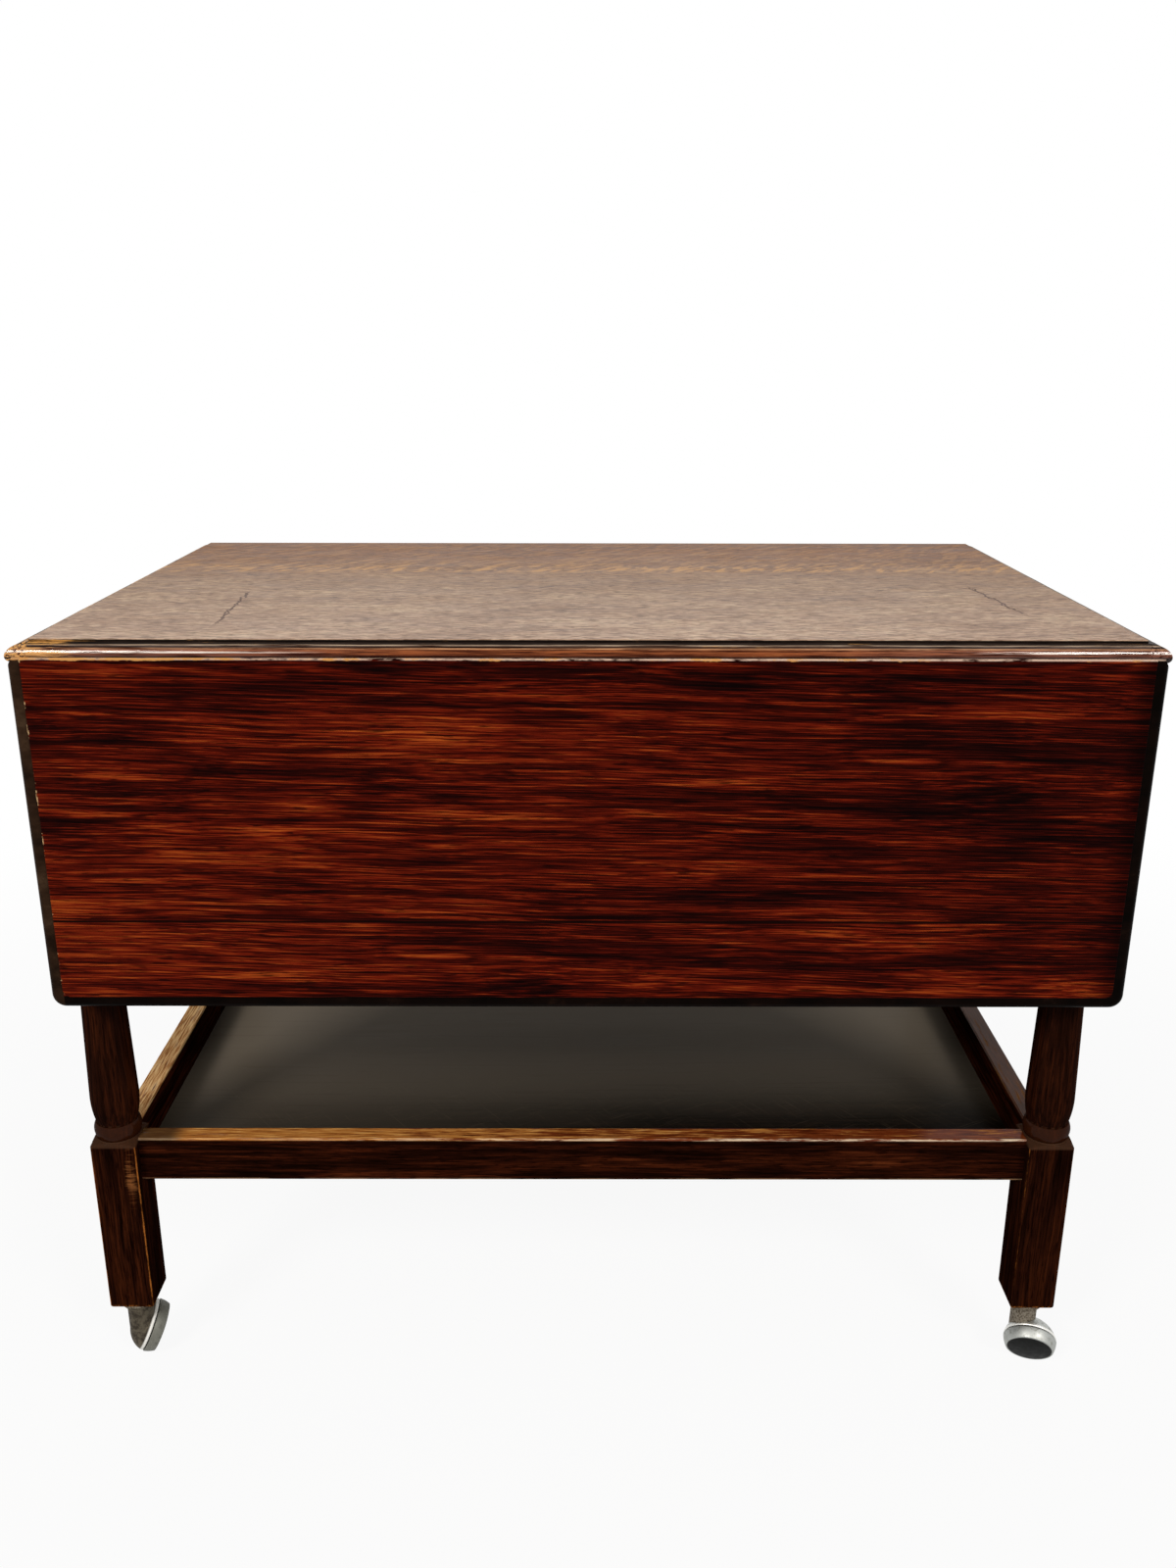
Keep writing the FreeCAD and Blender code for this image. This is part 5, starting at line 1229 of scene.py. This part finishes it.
@dataclass
class Carcase:
    """Top, aprons, tray rails and floor, with their blocks and screws, all carried over."""

    def build(self) -> None:
        """Dress the nodes of the frame."""
        for words, rail, apron in ((("front", "back"), Finish.RAIL_X, Finish.APRON_X),
                                   (("left", "right"), Finish.RAIL_Y, Finish.APRON_Y)):
            for word in words:
                dress_node(f"{word}_tray_rail", rail)
                dress_node(f"{word}_apron", apron)
        for node, finish in (("top_panel", Finish.TOP), ("tray_floor", Finish.TRAY),
                             ("top_fixing_blocks", Finish.BEECH), ("tray_screws", Finish.SCREW),
                             ("top_screws", Finish.SCREW), ("fixing_screws", Finish.SCREW),
                             ("arm_pins", Finish.BRACKET)):
            dress_node(node, finish)


# --- the studio ------------------------------------------------------------------------------------

class Lamp(Enum):
    """Soft lamps: place and target in metres, size in metres, power in watts, colour."""

    LEFT = ((-1.7, -2.6, 2.4), (0.0, 0.0, 0.45), 0.8, 62.0, "#fffaf4")
    RIGHT = ((1.7, -2.6, 2.4), (0.0, 0.0, 0.45), 0.8, 48.0, "#fffaf4")
    BACK = ((0.0, 2.6, 2.2), (0.0, 0.0, 0.5), 2.2, 7.0, "#ffffff")

    def light(self) -> None:
        """Set the lamp up as a square area light aimed at its target."""
        place, target, size, power, colour = self.value
        data = bpy.data.lights.new(self.name.lower(), "AREA")
        data.size, data.energy, data.color = size, power, tone(colour)[:3]
        lamp = bpy.data.objects.new(self.name.lower(), data)
        lamp.location = place
        lamp.rotation_euler = (Vector(target) - Vector(place)).to_track_quat("-Z", "Y").to_euler()
        bpy.context.scene.collection.objects.link(lamp)


@dataclass
class Studio:
    """Pale floor, white surroundings, soft lamps and the camera.

    The sensor's width spans the picture's longer side of 1600 pixels, and the lens is 1368.83 of them
    long. Places are in metres and angles in degrees.
    """

    sensor: float = 36.0
    focal: float = sensor * 1368.83 / 1600.0
    eye: tuple[float, float, float] = (-0.0006, -1.0893, 0.7856)
    pitch: float = 18.135
    yaw: float = 0.032
    roll: float = 0.096
    floor_half: float = 9.0
    floor_drop: float = 0.0003

    def floor(self) -> None:
        """Lay one large square of floor just under the wheels."""
        rim = np.array([(-1, -1), (1, -1), (1, 1), (-1, 1)]) * self.floor_half
        mesh = bpy.data.meshes.new("floor")
        mesh.from_pydata([(x, y, -self.floor_drop) for x, y in rim], [], [(0, 1, 2, 3)])
        floor = bpy.data.objects.new("floor", mesh)
        bpy.context.scene.collection.objects.link(floor)
        material = bpy.data.materials.new("matte_white_floor")
        lay(material, [
            *SEEN,
            ("paint", "BsdfDiffuse", {}, {"Color": tone("#d8d8d8")}),
            ("white", "Emission", {}, {"Color": (1.0, 1.0, 1.0, 1.0), "Strength": 1.0}),
            ("place", "TexCoord", {}, {}),
            ("away", "VectorMath", {"operation": "LENGTH"}, {0: "place:Object"}),
            ("cover", "MapRange", SMOOTH, {"Value": "away:Value", "From": (0.5, 1.5), "To": (0.92, 1.0)}),
            ("share", "Math", TIMES, {0: "seen", 1: "cover"}),
            ("floor", "MixShader", {}, {0: "share", 1: "paint:BSDF", 2: "white:Emission"}),
            ("out", "OutputMaterial", {}, {"Surface": "floor:Shader"}),
        ])
        mesh.materials.append(material)

    def world(self) -> None:
        """White surroundings for what is seen directly or mirrored, and a dimmer fill for the rest."""
        world = bpy.data.worlds.new("studio")
        bpy.context.scene.world = world
        lay(world, [
            *SEEN,
            ("level", "MapRange", {}, {"Value": "seen", "To": (0.4, 1.0)}),
            ("air", "Background", {}, {"Color": (1.0, 1.0, 1.0, 1.0), "Strength": "level"}),
            ("out", "OutputWorld", {}, {"Surface": "air:Background"}),
        ])

    def camera(self) -> None:
        """Aim the camera: down by the pitch, right by the yaw, and turned about its own axis by the roll."""
        data = bpy.data.cameras.new("camera")
        data.sensor_width, data.lens = self.sensor, self.focal
        camera = bpy.data.objects.new("camera", data)
        bpy.context.scene.collection.objects.link(camera)
        pitch, yaw, roll = (math.radians(v) for v in (self.pitch, self.yaw, self.roll))
        ahead = Vector((math.sin(yaw) * math.cos(pitch), math.cos(yaw) * math.cos(pitch), -math.sin(pitch)))
        level = Vector((math.cos(yaw), -math.sin(yaw), 0.0))
        upright = level.cross(ahead)
        right = math.cos(roll) * level + math.sin(roll) * upright
        up = -math.sin(roll) * level + math.cos(roll) * upright
        rows = [(right[k], up[k], -ahead[k], self.eye[k]) for k in range(3)]
        camera.matrix_world = Matrix(rows + [(0.0, 0.0, 0.0, 1.0)])
        bpy.context.scene.camera = camera

    def build(self) -> None:
        """Set everything up, with colours shown as they are."""
        self.floor()
        self.world()
        self.camera()
        for lamp in Lamp:
            lamp.light()
        bpy.context.scene.view_settings.view_transform = "Standard"


def main() -> None:
    """Build the studio and the trolley."""
    logging.basicConfig(level=logging.INFO, format="%(message)s")
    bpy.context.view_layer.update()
    Studio().build()
    Carcase().build()
    for side in Side:
        LeafSet(side).build()
    for corner in Corner:
        Leg(corner).build()
        Caster(corner).build()


if __name__ == "__main__":
    main()
